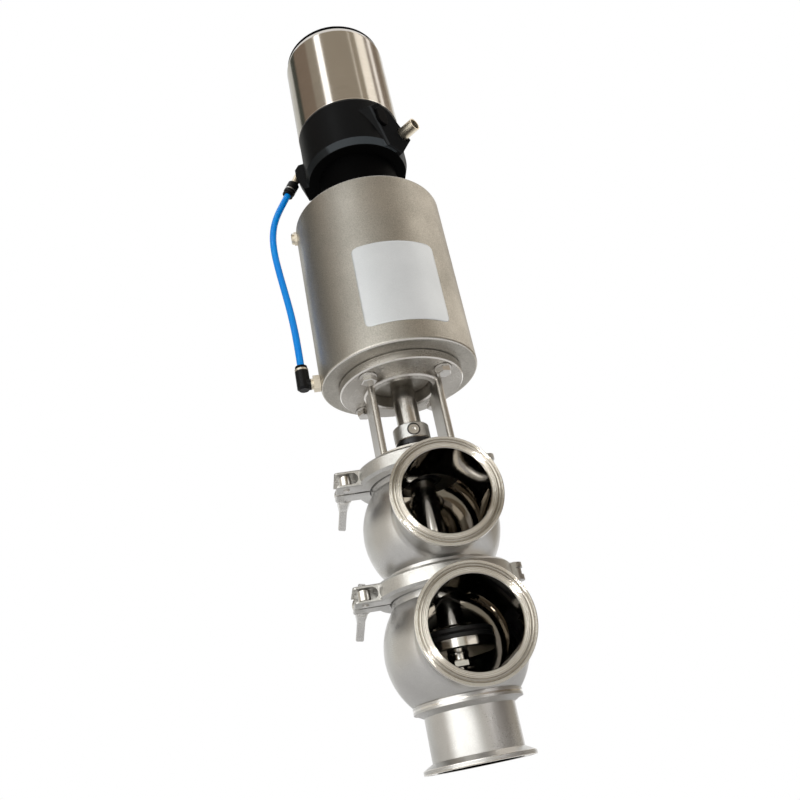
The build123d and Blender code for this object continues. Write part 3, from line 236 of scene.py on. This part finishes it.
# Lathe marks: fine rings round the Z axis that change along both the radius and the height.
lathe_marks, given, result = new_group("lathe_marks", {"Place": "Vector"}, {"Rings": "Float"})
tree = lathe_marks
radius = distance(tree, given["Place"], across=(1, 1, 0))
section_place = pair(tree, radius, along(tree, given["Place"], (0, 0, 1)))
marks = noise(tree, section_place, rings_per_metre, detail=2.0, dimensions="2D")
tree.links.new(marks, result["Rings"])

# Turned face: grooves too fine to see lean the surface to and from the axis, so that light
# is drawn out into bright spokes, as on any face left by a lathe tool.
turned_face, given, result = new_group(
    "turned_face", {"Offset": "Vector", "Slope": "Float"}, {"Normal": "Vector"}
)
tree = turned_face
turns = number(tree, "MULTIPLY", vector(tree, "LENGTH", given["Offset"]), grooves_per_metre)
groove = noise(tree, turns, scale=1.0, detail=1.0, dimensions="1D")
slope = number(tree, "MULTIPLY", number(tree, "SUBTRACT", groove, 0.5), given["Slope"])
lean = vector(tree, "SCALE", vector(tree, "NORMALIZE", given["Offset"]), slope)
lean = node(
    tree, "ShaderNodeVectorTransform", {0: lean},
    vector_type="VECTOR", convert_from="OBJECT", convert_to="WORLD",
).outputs[0]
skin = node(tree, "ShaderNodeNewGeometry").outputs["Normal"]
tree.links.new(vector(tree, "NORMALIZE", vector(tree, "ADD", skin, lean)), result["Normal"])

# Painted edge highlight: a share that is 1 near one circle round the Z axis, within a part of its width,
# and falls to 0 at that width.
highlight_core = 0.3
painted_edge_highlight, given, result = new_group(
    "painted_edge_highlight",
    {"Place": "Vector", "Radius": "Float", "Height": "Float", "Width": "Float"},
    {"Share": "Float"},
)
tree = painted_edge_highlight
outwards = number(tree, "SUBTRACT", distance(tree, given["Place"], across=(1, 1, 0)), given["Radius"])
upwards = number(tree, "SUBTRACT", along(tree, given["Place"], (0, 0, 1)), given["Height"])
off_circle = vector(tree, "LENGTH", pair(tree, outwards, upwards))
core_width = number(tree, "MULTIPLY", given["Width"], highlight_core)
tree.links.new(ramp(tree, off_circle, given["Width"], core_width), result["Share"])


def paint_edge_highlights(material, edges, colour, rough):
    """Paints a highlight over a finish along circles of (radius, height, width) in mm, and makes it smoother
    there.
    """
    tree = material.node_tree
    highlight_share = 0.0
    for radius, height, width in edges:
        share = use_group(
            tree, painted_edge_highlight, Place=object_place(tree),
            Radius=radius * MM, Height=height * MM, Width=width * MM,
        )["Share"]
        highlight_share = number(tree, "MAXIMUM", share, highlight_share)
    lay_over(material, "Base Color", highlight_share, colour)
    lay_over(material, "Roughness", highlight_share, rough)


def turned_normal(tree, offset, slope):
    """The normal of a face turned on a lathe, at an offset from its axis."""
    return use_group(tree, turned_face, Offset=offset, Slope=slope)["Normal"]


def body_steel(name, port_z, edges, foot=0.0):
    """Steel of one body. Its blasted, faced and polished parts are told apart by distances from
    the valve's axis, the port's axis and the ball's middle; a ferrule's face lies below foot."""
    material = new_material(name, Metallic=1.0)
    finish(
        material, light=(0.74, 0.73, 0.715), dark=(0.60, 0.59, 0.575), rough=0.31, swing=0.10,
        grain=1700, clouds=30.0, depth=0.07 * MM,
    )
    tree = material.node_tree
    place = object_place(tree)
    own = vector(tree, "SUBTRACT", place, (0, 0, port_z))
    reach = along(tree, own, (0, -1, 0))
    at_foot = number(tree, "LESS_THAN", along(tree, place, (0, 0, 1)), foot)
    faced = number(tree, "MAXIMUM", number(tree, "GREATER_THAN", reach, ferrule_reach), at_foot)

    in_ball = number(tree, "LESS_THAN", distance(tree, own), ball_skin_r)
    in_neck = number(tree, "LESS_THAN", distance(tree, own, across=(1, 1, 0)), bore_r)
    in_port = number(
        tree, "MULTIPLY", number(tree, "LESS_THAN", distance(tree, own, across=(1, 0, 1)), bore_r),
        number(tree, "GREATER_THAN", reach, port_bore_from),
    )
    inside = number(tree, "MAXIMUM", number(tree, "MAXIMUM", in_ball, in_port), in_neck)

    port_place = node(tree, "ShaderNodeMapping", {"Vector": own, "Rotation": (pi / 2, 0, 0)}).outputs[0]
    rings = use_group(tree, lathe_marks, Place=blend(tree, at_foot, port_place, place, "VECTOR"))["Rings"]
    tones = ramp(tree, rings, noise_low, ring_noise_high)
    lay_over(material, "Base Color", faced, blend(tree, tones, ring_dark, ring_light, "RGBA"))
    lay_over(material, "Roughness", faced, number(tree, "MULTIPLY_ADD", rings, ring_swing, ring_rough))

    polish = noise(tree, place, polish_clouds, detail=3.0)
    # Painted shade: the polished inside gets the darker tones.
    lay_over(material, "Base Color", inside, blend(tree, polish, polish_shade_dark, polish_shade_light, "RGBA"))
    lay_over(material, "Roughness", inside, number(tree, "MULTIPLY_ADD", polish, polish_swing, polish_rough))

    face_plane = blend(tree, at_foot, (1, 0, 1), (1, 1, 0), "VECTOR")
    grooved = number(tree, "MULTIPLY", faced, number(tree, "SUBTRACT", 1.0, inside))
    turned = turned_normal(
        tree, vector(tree, "MULTIPLY", own, face_plane), number(tree, "MULTIPLY", grooved, ring_slope)
    )
    lay_over(material, "Normal", number(tree, "MAXIMUM", faced, inside), turned)
    # A highlight is painted along the body's edge circles, which are also made smoother there.
    paint_edge_highlights(material, edges, body_edge_highlight, body_edge_highlight_rough)
    return material


dress(body_steel("lower_body_steel", lower_port_z, lower_body_edges, ferrule_foot), "lower_body")
dress(body_steel("upper_body_steel", upper_port_z, upper_body_edges), "upper_body")

# Two-piece clamps hold the joints. Their halves and hinge links are investment castings in
# stainless steel, tumbled to a soft shine, and the wing nuts are tumbled brighter.
# Colour and roughness of the highlight painted along steel edges.
steel_edge_highlight = (0.93, 0.90, 0.86)
steel_edge_highlight_rough = 0.18


def steel(name, edges=(), tint=(1.0, 1.0, 1.0), **look):
    """A steel with the shared finish, with a painted highlight and a smoother roughness along its edges."""
    material = new_material(name, Metallic=1.0, Specular_Tint=tint)
    finish(material, **look)
    if edges:
        paint_edge_highlights(material, edges, steel_edge_highlight, steel_edge_highlight_rough)
    return material


cast_steel = steel(
    "cast_clamp_steel", light=(0.74, 0.73, 0.71), dark=(0.52, 0.51, 0.49), rough=0.34, swing=0.14,
    grain=1300, clouds=45.0, depth=0.09 * MM,
)
dress(
    cast_steel, "lower_clamp_front", "lower_clamp_rear", "upper_clamp_front", "upper_clamp_rear",
    "hinge_links",
)
nut_steel = steel(
    "tumbled_nut_steel", light=(0.88, 0.87, 0.85), dark=(0.70, 0.69, 0.67), rough=0.26, swing=0.14,
    grain=1100, clouds=45.0, depth=0.09 * MM,
)
dress(nut_steel, "lower_wing_nut", "upper_wing_nut")

# Swing bolts, pins, yoke bolts, washers, nuts, stem, plug and rod are turned from stainless
# bar and polished. The tool's strokes run round them, so their grain is finest along Z.
bright_steel = steel(
    "bright_turned_steel", light=(0.80, 0.78, 0.75), dark=(0.62, 0.60, 0.57), rough=0.17, swing=0.08,
    grain=(400, 400, 5200), clouds=35.0, depth=0.01 * MM,
)
dress(
    bright_steel, "lower_swing_bolt", "upper_swing_bolt", "lug_pins", "link_pins", "yoke_bolts",
    "yoke_washers", "plug_nut", "piston_nut", "collar_screw", "plug_disc", "plug_retainer",
    "plug_stem", "actuator_rod",
)

# The split collar that joins the stem to the rod is fine blasted, and greyer than the pieces
# round it, with a painted highlight along its top and bottom edges. Its screw sits in a recess at the front,
# painted black as shade.
# The slotted ring below it is turned from steel, and its dark tone is painted shade.
collar_screw_place = (0, 0, 243.85 * MM)
collar_recess_r = 5.2 * MM
recess_painted_shade = (0.05, 0.05, 0.05)
collar_steel = steel(
    "fine_blasted_collar", edges=((14.1, 249.9, 0.7), (14.1, 237.8, 0.7)),
    light=(0.80, 0.805, 0.80), dark=(0.60, 0.605, 0.60), rough=0.38, swing=0.14,
    grain=1500, clouds=60.0, depth=0.09 * MM,
)
tree = collar_steel.node_tree
from_screw = vector(tree, "SUBTRACT", object_place(tree), collar_screw_place)
near_screw = number(tree, "LESS_THAN", distance(tree, from_screw, across=(1, 0, 1)), collar_recess_r)
in_front = number(tree, "LESS_THAN", along(tree, from_screw, (0, 1, 0)), 0.0)
# Painted shade: the collar round the screw's recess is painted black.
lay_over(collar_steel, "Base Color", number(tree, "MULTIPLY", near_screw, in_front), recess_painted_shade)
dress(collar_steel, "coupling_collar")
# Painted shade: the slotted ring's steel is darkened.
shade_darkened_steel = steel(
    "shade_darkened_ring_steel", light=(0.075, 0.075, 0.08), dark=(0.03, 0.03, 0.032), rough=0.35, swing=0.12,
    grain=900, clouds=60.0, depth=0.04 * MM,
)
dress(shade_darkened_steel, "slotted_ring")

# Actuator, bonnet and yoke are stainless steel, blasted like the bodies but in a warmer and
# darker grey. Highlights are painted along the edges of the shell and the yoke's flange, and the
# flange's underside is left as the lathe turned it.
# Highlights are painted along the shell's bottom and top edges.
warm_steel = steel(
    "blasted_actuator_steel", edges=((65.0, 294.8, 1.1), (65.0, 456.9, 1.1)), tint=(0.88, 0.86, 0.83),
    light=(0.60, 0.575, 0.527), dark=(0.35, 0.333, 0.300), rough=0.38, swing=0.16,
    grain=1000, clouds=18.0, depth=0.18 * MM,
)
dress(warm_steel, "actuator_shell", "actuator_bottom_cap", "actuator_top_cap", "bonnet")
# Highlights are painted along these circles of the yoke's flange and boss.
yoke_edges = (
    (50.8, 286.8, 1.0), (31.6, 282.4, 1.1), (25.8, 282.4, 1.1), (51.2, 293.5, 0.5), (49.0, 293.5, 0.5),
)
flange_underside_z = 284.2 * MM
flange_underside_half = 2.9 * MM
flange_slope = 2.6
yoke_steel = steel(
    "blasted_yoke_steel", edges=yoke_edges,
    light=(0.63, 0.60, 0.555), dark=(0.43, 0.405, 0.37), rough=0.30, swing=0.14,
    grain=1300, clouds=18.0, depth=0.1 * MM,
)
tree = yoke_steel.node_tree
place = object_place(tree)
height = along(tree, place, (0, 0, 1))
underside = number(tree, "COMPARE", height, flange_underside_z, flange_underside_half)
turned = turned_normal(tree, vector(tree, "MULTIPLY", place, (1, 1, 0)), flange_slope)
lay_over(yoke_steel, "Normal", underside, turned)
dress(yoke_steel, "yoke")

# The main spring is coated spring steel, and the piston below it is turned from aluminium.
# Both are closed in by the actuator's shell.
spring_steel = steel(
    "coated_spring", light=(0.22, 0.22, 0.23), dark=(0.12, 0.12, 0.13), rough=0.45, swing=0.1,
    grain=900, clouds=40.0, depth=0.04 * MM,
)
dress(spring_steel, "main_spring")
piston_metal = steel(
    "turned_aluminium", light=(0.80, 0.80, 0.80), dark=(0.66, 0.66, 0.66), rough=0.3, swing=0.1,
    grain=(300, 300, 3000), clouds=30.0, depth=0.02 * MM,
)
dress(piston_metal, "piston")


# Seals are moulded in black rubber and sit in grooves or between flanges. The bushes and the
# piston's guide ring are a pale bearing plastic.
def moulded(name, light, dark, rough, grain, **values):
    """A moulded plastic or rubber: two close tones, uneven gloss and the mould's fine grain."""
    material = new_material(name, **values)
    finish(material, light, dark, rough, swing=0.1, grain=grain, clouds=30.0, depth=0.03 * MM)
    return material


rubber = moulded(
    "black_rubber", light=(0.022, 0.022, 0.023), dark=(0.012, 0.012, 0.012), rough=0.42, grain=1500
)
dress(rubber, "body_gaskets", "stem_seal", "plug_seal", "rod_seal_lower", "piston_seal", "cap_seal")
bearing = moulded(
    "bearing_plastic", light=(0.55, 0.53, 0.48), dark=(0.45, 0.43, 0.39), rough=0.5, grain=1200
)
dress(bearing, "stem_bush", "rod_bush_lower", "rod_bush_upper", "piston_guide_ring")

# The control head stands on a matt black plastic neck. Its base is satin black plastic,
# moulded in one with the console, and its cap is drawn from stainless sheet and brushed round.
# The neck's black is darker than the plastic's own black, as painted shade; the cap lid and blind plug share
# it.
neck_shade_plastic = moulded(
    "matt_shaded_black_plastic", light=(0.0012, 0.0012, 0.0014), dark=(0.0008, 0.0008, 0.0009), rough=0.55,
    grain=1500, Specular_IOR_Level=0.03,
)
dress(neck_shade_plastic, "head_adapter", "cap_lid", "blind_plug")
satin_black = {"light": (0.0050, 0.0055, 0.0062), "dark": (0.0032, 0.0034, 0.0038), "grain": 1800}
black_plastic = moulded("satin_black_plastic", rough=0.40, Specular_IOR_Level=0.15, **satin_black)
dress(black_plastic, "connector_insert", "solenoid_block", "elbow_release_ring", "head_release_ring")

# The base's chamfered foot carries a painted sheen that turns to a painted highlight towards the front. The
# console's bevel round its front carries a painted grey highlight. The base's underside is painted black as
# shade, and it and the console's front are matt.
base_plastic = moulded("satin_base_plastic", rough=0.40, Specular_IOR_Level=0.08, **satin_black)
underside_z = 510.4 * MM
foot_z = 514.5 * MM
foot_half = 3.7 * MM
foot_r = 47.9 * MM
foot_painted_sheen = (0.013, 0.015, 0.016)
foot_painted_highlight = (0.052, 0.060, 0.066)
highlight_way = (0.259, -0.966, 0.0)
highlight_from = 27.5 * MM
highlight_to = 30.0 * MM
console_way = (cos(radians(-50.0)), sin(radians(-50.0)), 0.0)
bevel_reach = 49.0 * MM
bevel_half = 0.8 * MM
bevel_painted_highlight = (0.022, 0.024, 0.026)
underside_painted_shade = (0.0, 0.0, 0.0)
console_reach = 49.8 * MM
matt_rough = 0.95
tree = base_plastic.node_tree
place = object_place(tree)
height = along(tree, place, (0, 0, 1))
on_round = number(tree, "LESS_THAN", distance(tree, place, across=(1, 1, 0)), foot_r)
foot = number(tree, "MULTIPLY", on_round, number(tree, "COMPARE", height, foot_z, foot_half))
towards_highlight = ramp(tree, along(tree, place, highlight_way), highlight_from, highlight_to)
# Painted sheen and highlight on the chamfered foot.
lay_over(base_plastic, "Base Color", foot, blend(tree, towards_highlight, foot_painted_sheen, foot_painted_highlight, "RGBA"))
outwards = along(tree, place, console_way)
# Painted highlight on the console's bevel.
lay_over(base_plastic, "Base Color", number(tree, "COMPARE", outwards, bevel_reach, bevel_half), bevel_painted_highlight)
underneath = number(tree, "LESS_THAN", height, underside_z)
# Painted shade: the base's underside is black.
lay_over(base_plastic, "Base Color", underneath, underside_painted_shade)
matt = number(tree, "MAXIMUM", underneath, number(tree, "GREATER_THAN", outwards, console_reach))
lay_over(base_plastic, "Roughness", matt, matt_rough)
dress(base_plastic, "head_base")
# The cap's bottom rim carries a painted highlight.
cap_steel = steel(
    "drawn_cap_steel", edges=((48.4, 563.9, 0.9),),
    light=(0.68, 0.64, 0.59), dark=(0.55, 0.51, 0.46), rough=0.15, swing=0.10,
    grain=(60, 60, 4200), clouds=9.0, depth=0.01 * MM,
)
dress(cap_steel, "head_cap")

# Electronics inside the head: a circuit board under green lacquer, and the grey plastic
# target on the rod's end that its sensors look for.
board = moulded("coated_board", light=(0.05, 0.24, 0.11), dark=(0.03, 0.16, 0.07), rough=0.4, grain=800)
dress(board, "sensor_board")
target_grey = moulded(
    "sensor_target_grey", light=(0.15, 0.15, 0.16), dark=(0.10, 0.10, 0.11), rough=0.5, grain=1200
)
dress(target_grey, "sensor_target")

# Connector, fitting feet and vent are nickel plated brass. The two push-in fittings have
# satin plastic bodies, each with a narrow metal sleeve that shows as a band.
nickel = steel(
    "nickel_plate", light=(0.95, 0.87, 0.72), dark=(0.82, 0.73, 0.58), rough=0.32, swing=0.05,
    grain=900, clouds=70.0, depth=0.004 * MM,
)
dress(nickel, "connector_shell", "elbow_hex", "head_fitting_stub", "vent_plug")


def banded_plastic(name, start, way, reach, half_width, band_colour):
    """Satin plastic with a metal band across a direction, at a reach from a start point."""
    material = moulded(name, rough=0.35, Specular_IOR_Level=0.25, **satin_black)
    tree = material.node_tree
    from_start = vector(tree, "SUBTRACT", object_place(tree), start)
    band = number(tree, "COMPARE", along(tree, from_start, way), reach, half_width)
    lay_over(material, "Base Color", band, band_colour)
    tree.links.new(band, shader_of(material).inputs["Metallic"])
    return material


elbow_plastic = banded_plastic(
    "satin_elbow_plastic", start=(0, 0, 0), way=(0, 0, 1), reach=314.4 * MM, half_width=0.9 * MM,
    band_colour=(0.90, 0.83, 0.70),
)
dress(elbow_plastic, "elbow_body")
fitting_plastic = banded_plastic(
    "satin_fitting_plastic", start=(-0.0566, 0.013, 0.5266), way=(-0.5045, 0.0, -0.8634),
    reach=13.2 * MM, half_width=0.7 * MM, band_colour=(0.55, 0.55, 0.55),
)
dress(fitting_plastic, "head_fitting_body")

# Blue polyurethane air tube, 6 mm over, from the control head's port down to the elbow.
# It is one free length of 223 mm held by a push-in fitting at each end.
tube_diameter = 6 * MM
tube_points = [
    (-0.05978, 0.0130, 0.52116),
    (-0.06937, 0.0130, 0.50476),
    (-0.0809, 0.0120, 0.4826),
    (-0.0856, 0.0105, 0.4635),
    (-0.0866, 0.0085, 0.4435),
    (-0.0850, 0.0065, 0.4200),
    (-0.0826, 0.0050, 0.3970),
    (-0.0804, 0.0030, 0.3740),
    (-0.0791, 0.0010, 0.3500),
    (-0.0788, 0.0000, 0.3258),
    (-0.0788, 0.0000, 0.3048),
]
tube_curve = bpy.data.curves.new("blue_air_tube", "CURVE")
tube_curve.dimensions = "3D"
tube_curve.bevel_depth = tube_diameter / 2
tube_curve.bevel_resolution = 6
tube_curve.resolution_u = 16
tube_curve.use_fill_caps = True
spline = tube_curve.splines.new("NURBS")
spline.points.add(len(tube_points) - 1)
for point, place in zip(spline.points, tube_points):
    point.co = (*place, 1.0)
spline.order_u = 3
spline.use_endpoint_u = True
blue = new_material(
    "blue_polyurethane", Roughness=0.22, IOR=1.5, Specular_IOR_Level=0.3, Coat_Weight=0.15,
    Coat_Roughness=0.05, Subsurface_Weight=0.15, Subsurface_Radius=(0.0005, 0.004, 0.010),
    Subsurface_Scale=1.0,
)
tree = blue.node_tree
cloud = noise(tree, object_place(tree), scale=60.0, detail=2.0)
tube_blue = blend(tree, cloud, (0.0, 0.27, 1.0), (0.0, 0.37, 1.0), "RGBA")
tree.links.new(tube_blue, shader_of(blue).inputs["Base Color"])
tube_curve.materials.append(blue)


def place_object(name, data):
    """An object with this data at the origin of the scene."""
    made = bpy.data.objects.new(name, data)
    bpy.context.scene.collection.objects.link(made)
    return made


air_tube = place_object("blue_air_tube", tube_curve)
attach(air_tube, "valve_housing")
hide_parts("air_tube")

# Rating plate: a blank silver film with rounded corners, cut from thin plastic sheet and
# stuck round the actuator's front.
plate_r = 65.35 * MM
plate_centre = radians(-85.0)
plate_half_width = 35.6 * MM
plate_low = 312.2 * MM
plate_high = 387.4 * MM
plate_corner = 5.0 * MM
film_thickness = 0.12 * MM


def plate_surface(rows=60, columns=60):
    """Maps a rounded square onto the cylinder: across is arc length over the radius, up is
    height. Each row is as wide as the rounded outline allows at its height."""
    v = np.linspace(-1, 1, rows)[:, None]
    u = np.linspace(-1, 1, columns)[None, :]
    half_height = (plate_high - plate_low) / 2
    from_end = np.minimum(half_height - np.abs(v) * half_height, plate_corner)
    inset = plate_corner - np.sqrt(np.maximum(plate_corner**2 - (plate_corner - from_end) ** 2, 0))
    arc = u * (plate_half_width - inset)
    angle = plate_centre + arc / plate_r
    height = (plate_low + plate_high) / 2 + v * half_height + 0 * u
    return np.stack([plate_r * np.cos(angle), plate_r * np.sin(angle), height], axis=-1)


def sheet_mesh(name, grid, material):
    """A mesh over a grid of points by row and column, with one quad between each four."""
    rows, columns = grid.shape[:2]
    index = np.arange(rows * columns).reshape(rows, columns)
    quads = np.stack([index[:-1, :-1], index[:-1, 1:], index[1:, 1:], index[1:, :-1]], axis=-1)
    mesh = bpy.data.meshes.new(name)
    mesh.from_pydata(grid.reshape(-1, 3).tolist(), [], quads.reshape(-1, 4).tolist())
    mesh.materials.append(material)
    return mesh


film = new_material("silver_film", Metallic=0.25)
finish(
    film, light=(0.79, 0.81, 0.82), dark=(0.70, 0.72, 0.73), rough=0.34, swing=0.08,
    grain=1800, clouds=30.0, depth=0.01 * MM,
)
plate_mesh = sheet_mesh("rating_plate", plate_surface(), film)
plate_mesh.polygons.foreach_set("use_smooth", [True] * len(plate_mesh.polygons))
plate = place_object("rating_plate", plate_mesh)
solid = plate.modifiers.new("film_thickness", "SOLIDIFY")
solid.thickness = film_thickness
solid.offset = -1.0
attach(plate, "valve_housing")

# Pale floor under the bottom ferrule. It is one sheet that only shows from above, so that the
# low camera sees past it, and it keeps the valve's shadow. It is clear in a ring below the
# ferrule's face, which the low camera sees, and fades out towards its edge.
floor_half = 1.6
floor_drop = 0.2 * MM
floor_fade_from = 0.5
floor_fade_to = 1.5
face_middle_r = 34.5 * MM
face_half_width = 4.5 * MM
floor_corners = np.array([
    [(-floor_half, -floor_half, 0), (floor_half, -floor_half, 0)],
    [(-floor_half, floor_half, 0), (floor_half, floor_half, 0)],
])
floor_material = new_material("pale_floor", Base_Color=(0.86, 0.86, 0.86), Roughness=0.9)
tree = floor_material.node_tree
from_middle = vector(tree, "LENGTH", object_place(tree))
behind = node(tree, "ShaderNodeNewGeometry").outputs["Backfacing"]
to_camera = node(tree, "ShaderNodeLightPath").outputs["Is Camera Ray"]
from_below = number(tree, "MULTIPLY", behind, to_camera)
under_face = number(tree, "COMPARE", from_middle, face_middle_r, face_half_width)
clear_share = number(
    tree, "MAXIMUM", number(tree, "MAXIMUM", from_below, under_face),
    ramp(tree, from_middle, floor_fade_from, floor_fade_to),
)
pale = shader_of(floor_material).outputs[0]
clear = node(tree, "ShaderNodeBsdfTransparent").outputs[0]
mix = node(tree, "ShaderNodeMixShader", {0: clear_share, 1: pale, 2: clear})
tree.links.new(mix.outputs[0], tree.nodes["Material Output"].inputs["Surface"])
floor = place_object("floor", sheet_mesh("floor", floor_corners, floor_material))
floor.location.z = -floor_drop

# The world is plain: white where the camera, metal and clear plastic look at it, and an
# even pale light for everything else.
even_colour = (1.0, 0.99, 0.975)
even_strength = 0.55
world = bpy.data.worlds.new("studio")
world.use_nodes = True
bpy.context.scene.world = world
tree = world.node_tree
rays = node(tree, "ShaderNodeLightPath").outputs
seen = number(tree, "MAXIMUM", rays["Is Camera Ray"], rays["Is Glossy Ray"])
seen = number(tree, "MAXIMUM", seen, rays["Is Transmission Ray"])
even = tree.nodes["Background"]
set_socket(tree, even.inputs["Color"], even_colour)
even.inputs["Strength"].default_value = even_strength
white = node(tree, "ShaderNodeBackground", {"Color": (1.0, 1.0, 1.0), "Strength": 1.0})
mix = node(tree, "ShaderNodeMixShader", {0: seen, 1: even.outputs[0], 2: white.outputs[0]})
tree.links.new(mix.outputs[0], tree.nodes["World Output"].inputs["Surface"])
bpy.context.scene.view_settings.view_transform = "Standard"


# Three soft lamps light the plastics and the floor from the left, the right and low in front.
# Two small ones show only in the metal of one body each, and draw its ferrule's bright spokes.
def soft_lamp(name, place, target, size, power, in_metal=False):
    """A rectangular area lamp turned towards a target; in_metal shows it only in reflections."""
    data = bpy.data.lights.new(name, "AREA")
    data.shape = "RECTANGLE"
    data.size, data.size_y = size
    data.energy = power
    lamp = place_object(name, data)
    lamp.location = place
    lamp.visible_glossy = in_metal
    lamp.visible_diffuse = not in_metal
    lamp.rotation_euler = (Vector(target) - Vector(place)).to_track_quat("-Z", "Y").to_euler()
    return lamp


soft_lamp("window_lamp", (-1.32, -1.55, 1.35), (0, 0, 0.35), size=(0.42, 1.5), power=9.0)
soft_lamp("side_lamp", (1.6, -0.9, 1.1), (0, 0, 0.3), size=(0.4, 1.2), power=4.0)
soft_lamp("low_lamp", (0.3, -1.5, 0.15), (0, 0, 0.2), size=(1.0, 0.3), power=2.0)
spark_size = (0.17, 0.17)
spark_power = 8.0
spark_lamps = {
    "lower_body": ("lower_spark_lamp", (1.17, -1.53, 0.81), (0, -0.08, 0.08)),
    "upper_body": ("upper_spark_lamp", (1.045, -1.385, 1.268), (0, -0.08, 0.17)),
}
for body_name, (lamp_name, place, target) in spark_lamps.items():
    lamp = soft_lamp(lamp_name, place, target, spark_size, spark_power, in_metal=True)
    lit = bpy.data.collections.new(body_name + "_spark")
    lit.objects.link(nodes[body_name])
    lamp.light_linking.receiver_collection = lit

# Curved panels stand round the valve in three rows, like the walls, windows and screens of
# a photographer's room. Only metal and gloss see them, as dark and bright upright bands:
# the low row shows in the chambers, the middle one in the actuator, the high one in the cap.
# Each row has its lowest and highest height, and panels of two bearings and a colour.
panel_radius = 2.4
panel_points = 13
panel_rows = {
    "low": (-0.3, 1.25, [
        (-290, -245, (0.90, 0.90, 0.89)),
        (-245, -215, (0.66, 0.66, 0.63)),
        (-215, -175, (0.62, 0.59, 0.53)),
        (-175, -158, (0.56, 0.51, 0.43)),
        (-158, -94, (2.35, 2.35, 2.28)),
        (-94, -75, (0.68, 0.67, 0.60)),
        (-75, -60, (0.30, 0.25, 0.18)),
        (-60, 5, (0.11, 0.085, 0.06)),
        (5, 45, (0.34, 0.30, 0.24)),
        (45, 70, (1.00, 1.00, 0.98)),
    ]),
    "middle": (1.25, 2.75, [
        (-290, -252, (0.34, 0.34, 0.33)),
        (-252, -222, (0.80, 0.80, 0.77)),
        (-222, -200, (0.0, 0.0, 0.01)),
        (-200, -180, (0.12, 0.115, 0.10)),
        (-180, -160, (0.30, 0.26, 0.21)),
        (-160, -139, (0.34, 0.31, 0.27)),
        (-139, -118, (0.70, 0.70, 0.66)),
        (-118, -100, (0.43, 0.41, 0.36)),
        (-100, -53, (0.33, 0.28, 0.225)),
        (-53, -36, (0.45, 0.39, 0.32)),
        (-36, -12, (1.02, 0.95, 0.84)),
        (-12, 12, (1.28, 1.19, 1.07)),
        (12, 30, (1.10, 1.03, 0.93)),
        (30, 46, (1.15, 1.08, 0.98)),
        (46, 70, (0.62, 0.62, 0.60)),
    ]),
    "high": (2.75, 4.6, [
        (-290, -245, (0.70, 0.70, 0.68)),
        (-245, -222, (0.62, 0.62, 0.58)),
        (-222, -202, (0.07, 0.075, 0.062)),
        (-202, -160, (0.25, 0.195, 0.15)),
        (-160, -135, (0.36, 0.32, 0.26)),
        (-135, -121, (2.30, 2.30, 2.30)),
        (-121, -53, (0.37, 0.325, 0.26)),
        (-53, -50, (0.95, 0.90, 0.80)),
        (-50, -36, (0.36, 0.31, 0.24)),
        (-36, -12, (1.35, 1.28, 1.16)),
        (-12, -2, (0.30, 0.25, 0.21)),
        (-2, 8, (1.35, 1.30, 1.24)),
        (8, 32, (0.24, 0.19, 0.145)),
        (32, 46, (0.45, 0.40, 0.33)),
        (46, 70, (0.95, 0.95, 0.93)),
    ]),
}


def panel_surface(start, end, low, high):
    """Part of a cylinder round the Z axis: along a row, x and y are the radius times the cosine
    and the sine of a bearing that goes from start to end, and each row has one height."""
    bearings = np.radians(np.linspace(start, end, panel_points))
    across, up = np.meshgrid(bearings, np.array([low, high]))
    return np.stack([panel_radius * np.cos(across), panel_radius * np.sin(across), up], axis=-1)


for row, (low, high, bands) in panel_rows.items():
    for start, end, colour in bands:
        name = f"panel_{row}_{start + 360}"
        paint = new_material(name + "_paint")
        tree = paint.node_tree
        glow = node(tree, "ShaderNodeEmission", {"Color": colour, "Strength": 1.0})
        tree.links.new(glow.outputs[0], tree.nodes["Material Output"].inputs["Surface"])
        panel = place_object(name, sheet_mesh(name, panel_surface(start, end, low, high), paint))
        panel.visible_camera = False
        panel.visible_diffuse = False
        panel.visible_transmission = False
        panel.visible_shadow = False

# The camera stands low in front of the valve and a little to its left, looks up at it
# and is rolled, so that the upright valve lies across the picture from top left.
camera_place = (-0.11134, -0.59417, -0.01409)
camera_heading = radians(10.287)
camera_tilt = radians(25.74)
camera_roll = radians(-11.746)
camera_data = bpy.data.cameras.new("photo_camera")
camera_data.sensor_width = 36.0
camera_data.lens = 37.094
camera_data.clip_start = 0.01
camera = place_object("photo_camera", camera_data)
camera.matrix_world = (
    Matrix.Translation(camera_place)
    @ Matrix.Rotation(-camera_heading, 4, "Z")
    @ Matrix.Rotation(pi / 2 + camera_tilt, 4, "X")
    @ Matrix.Rotation(camera_roll, 4, "Z")
)
bpy.context.scene.camera = camera
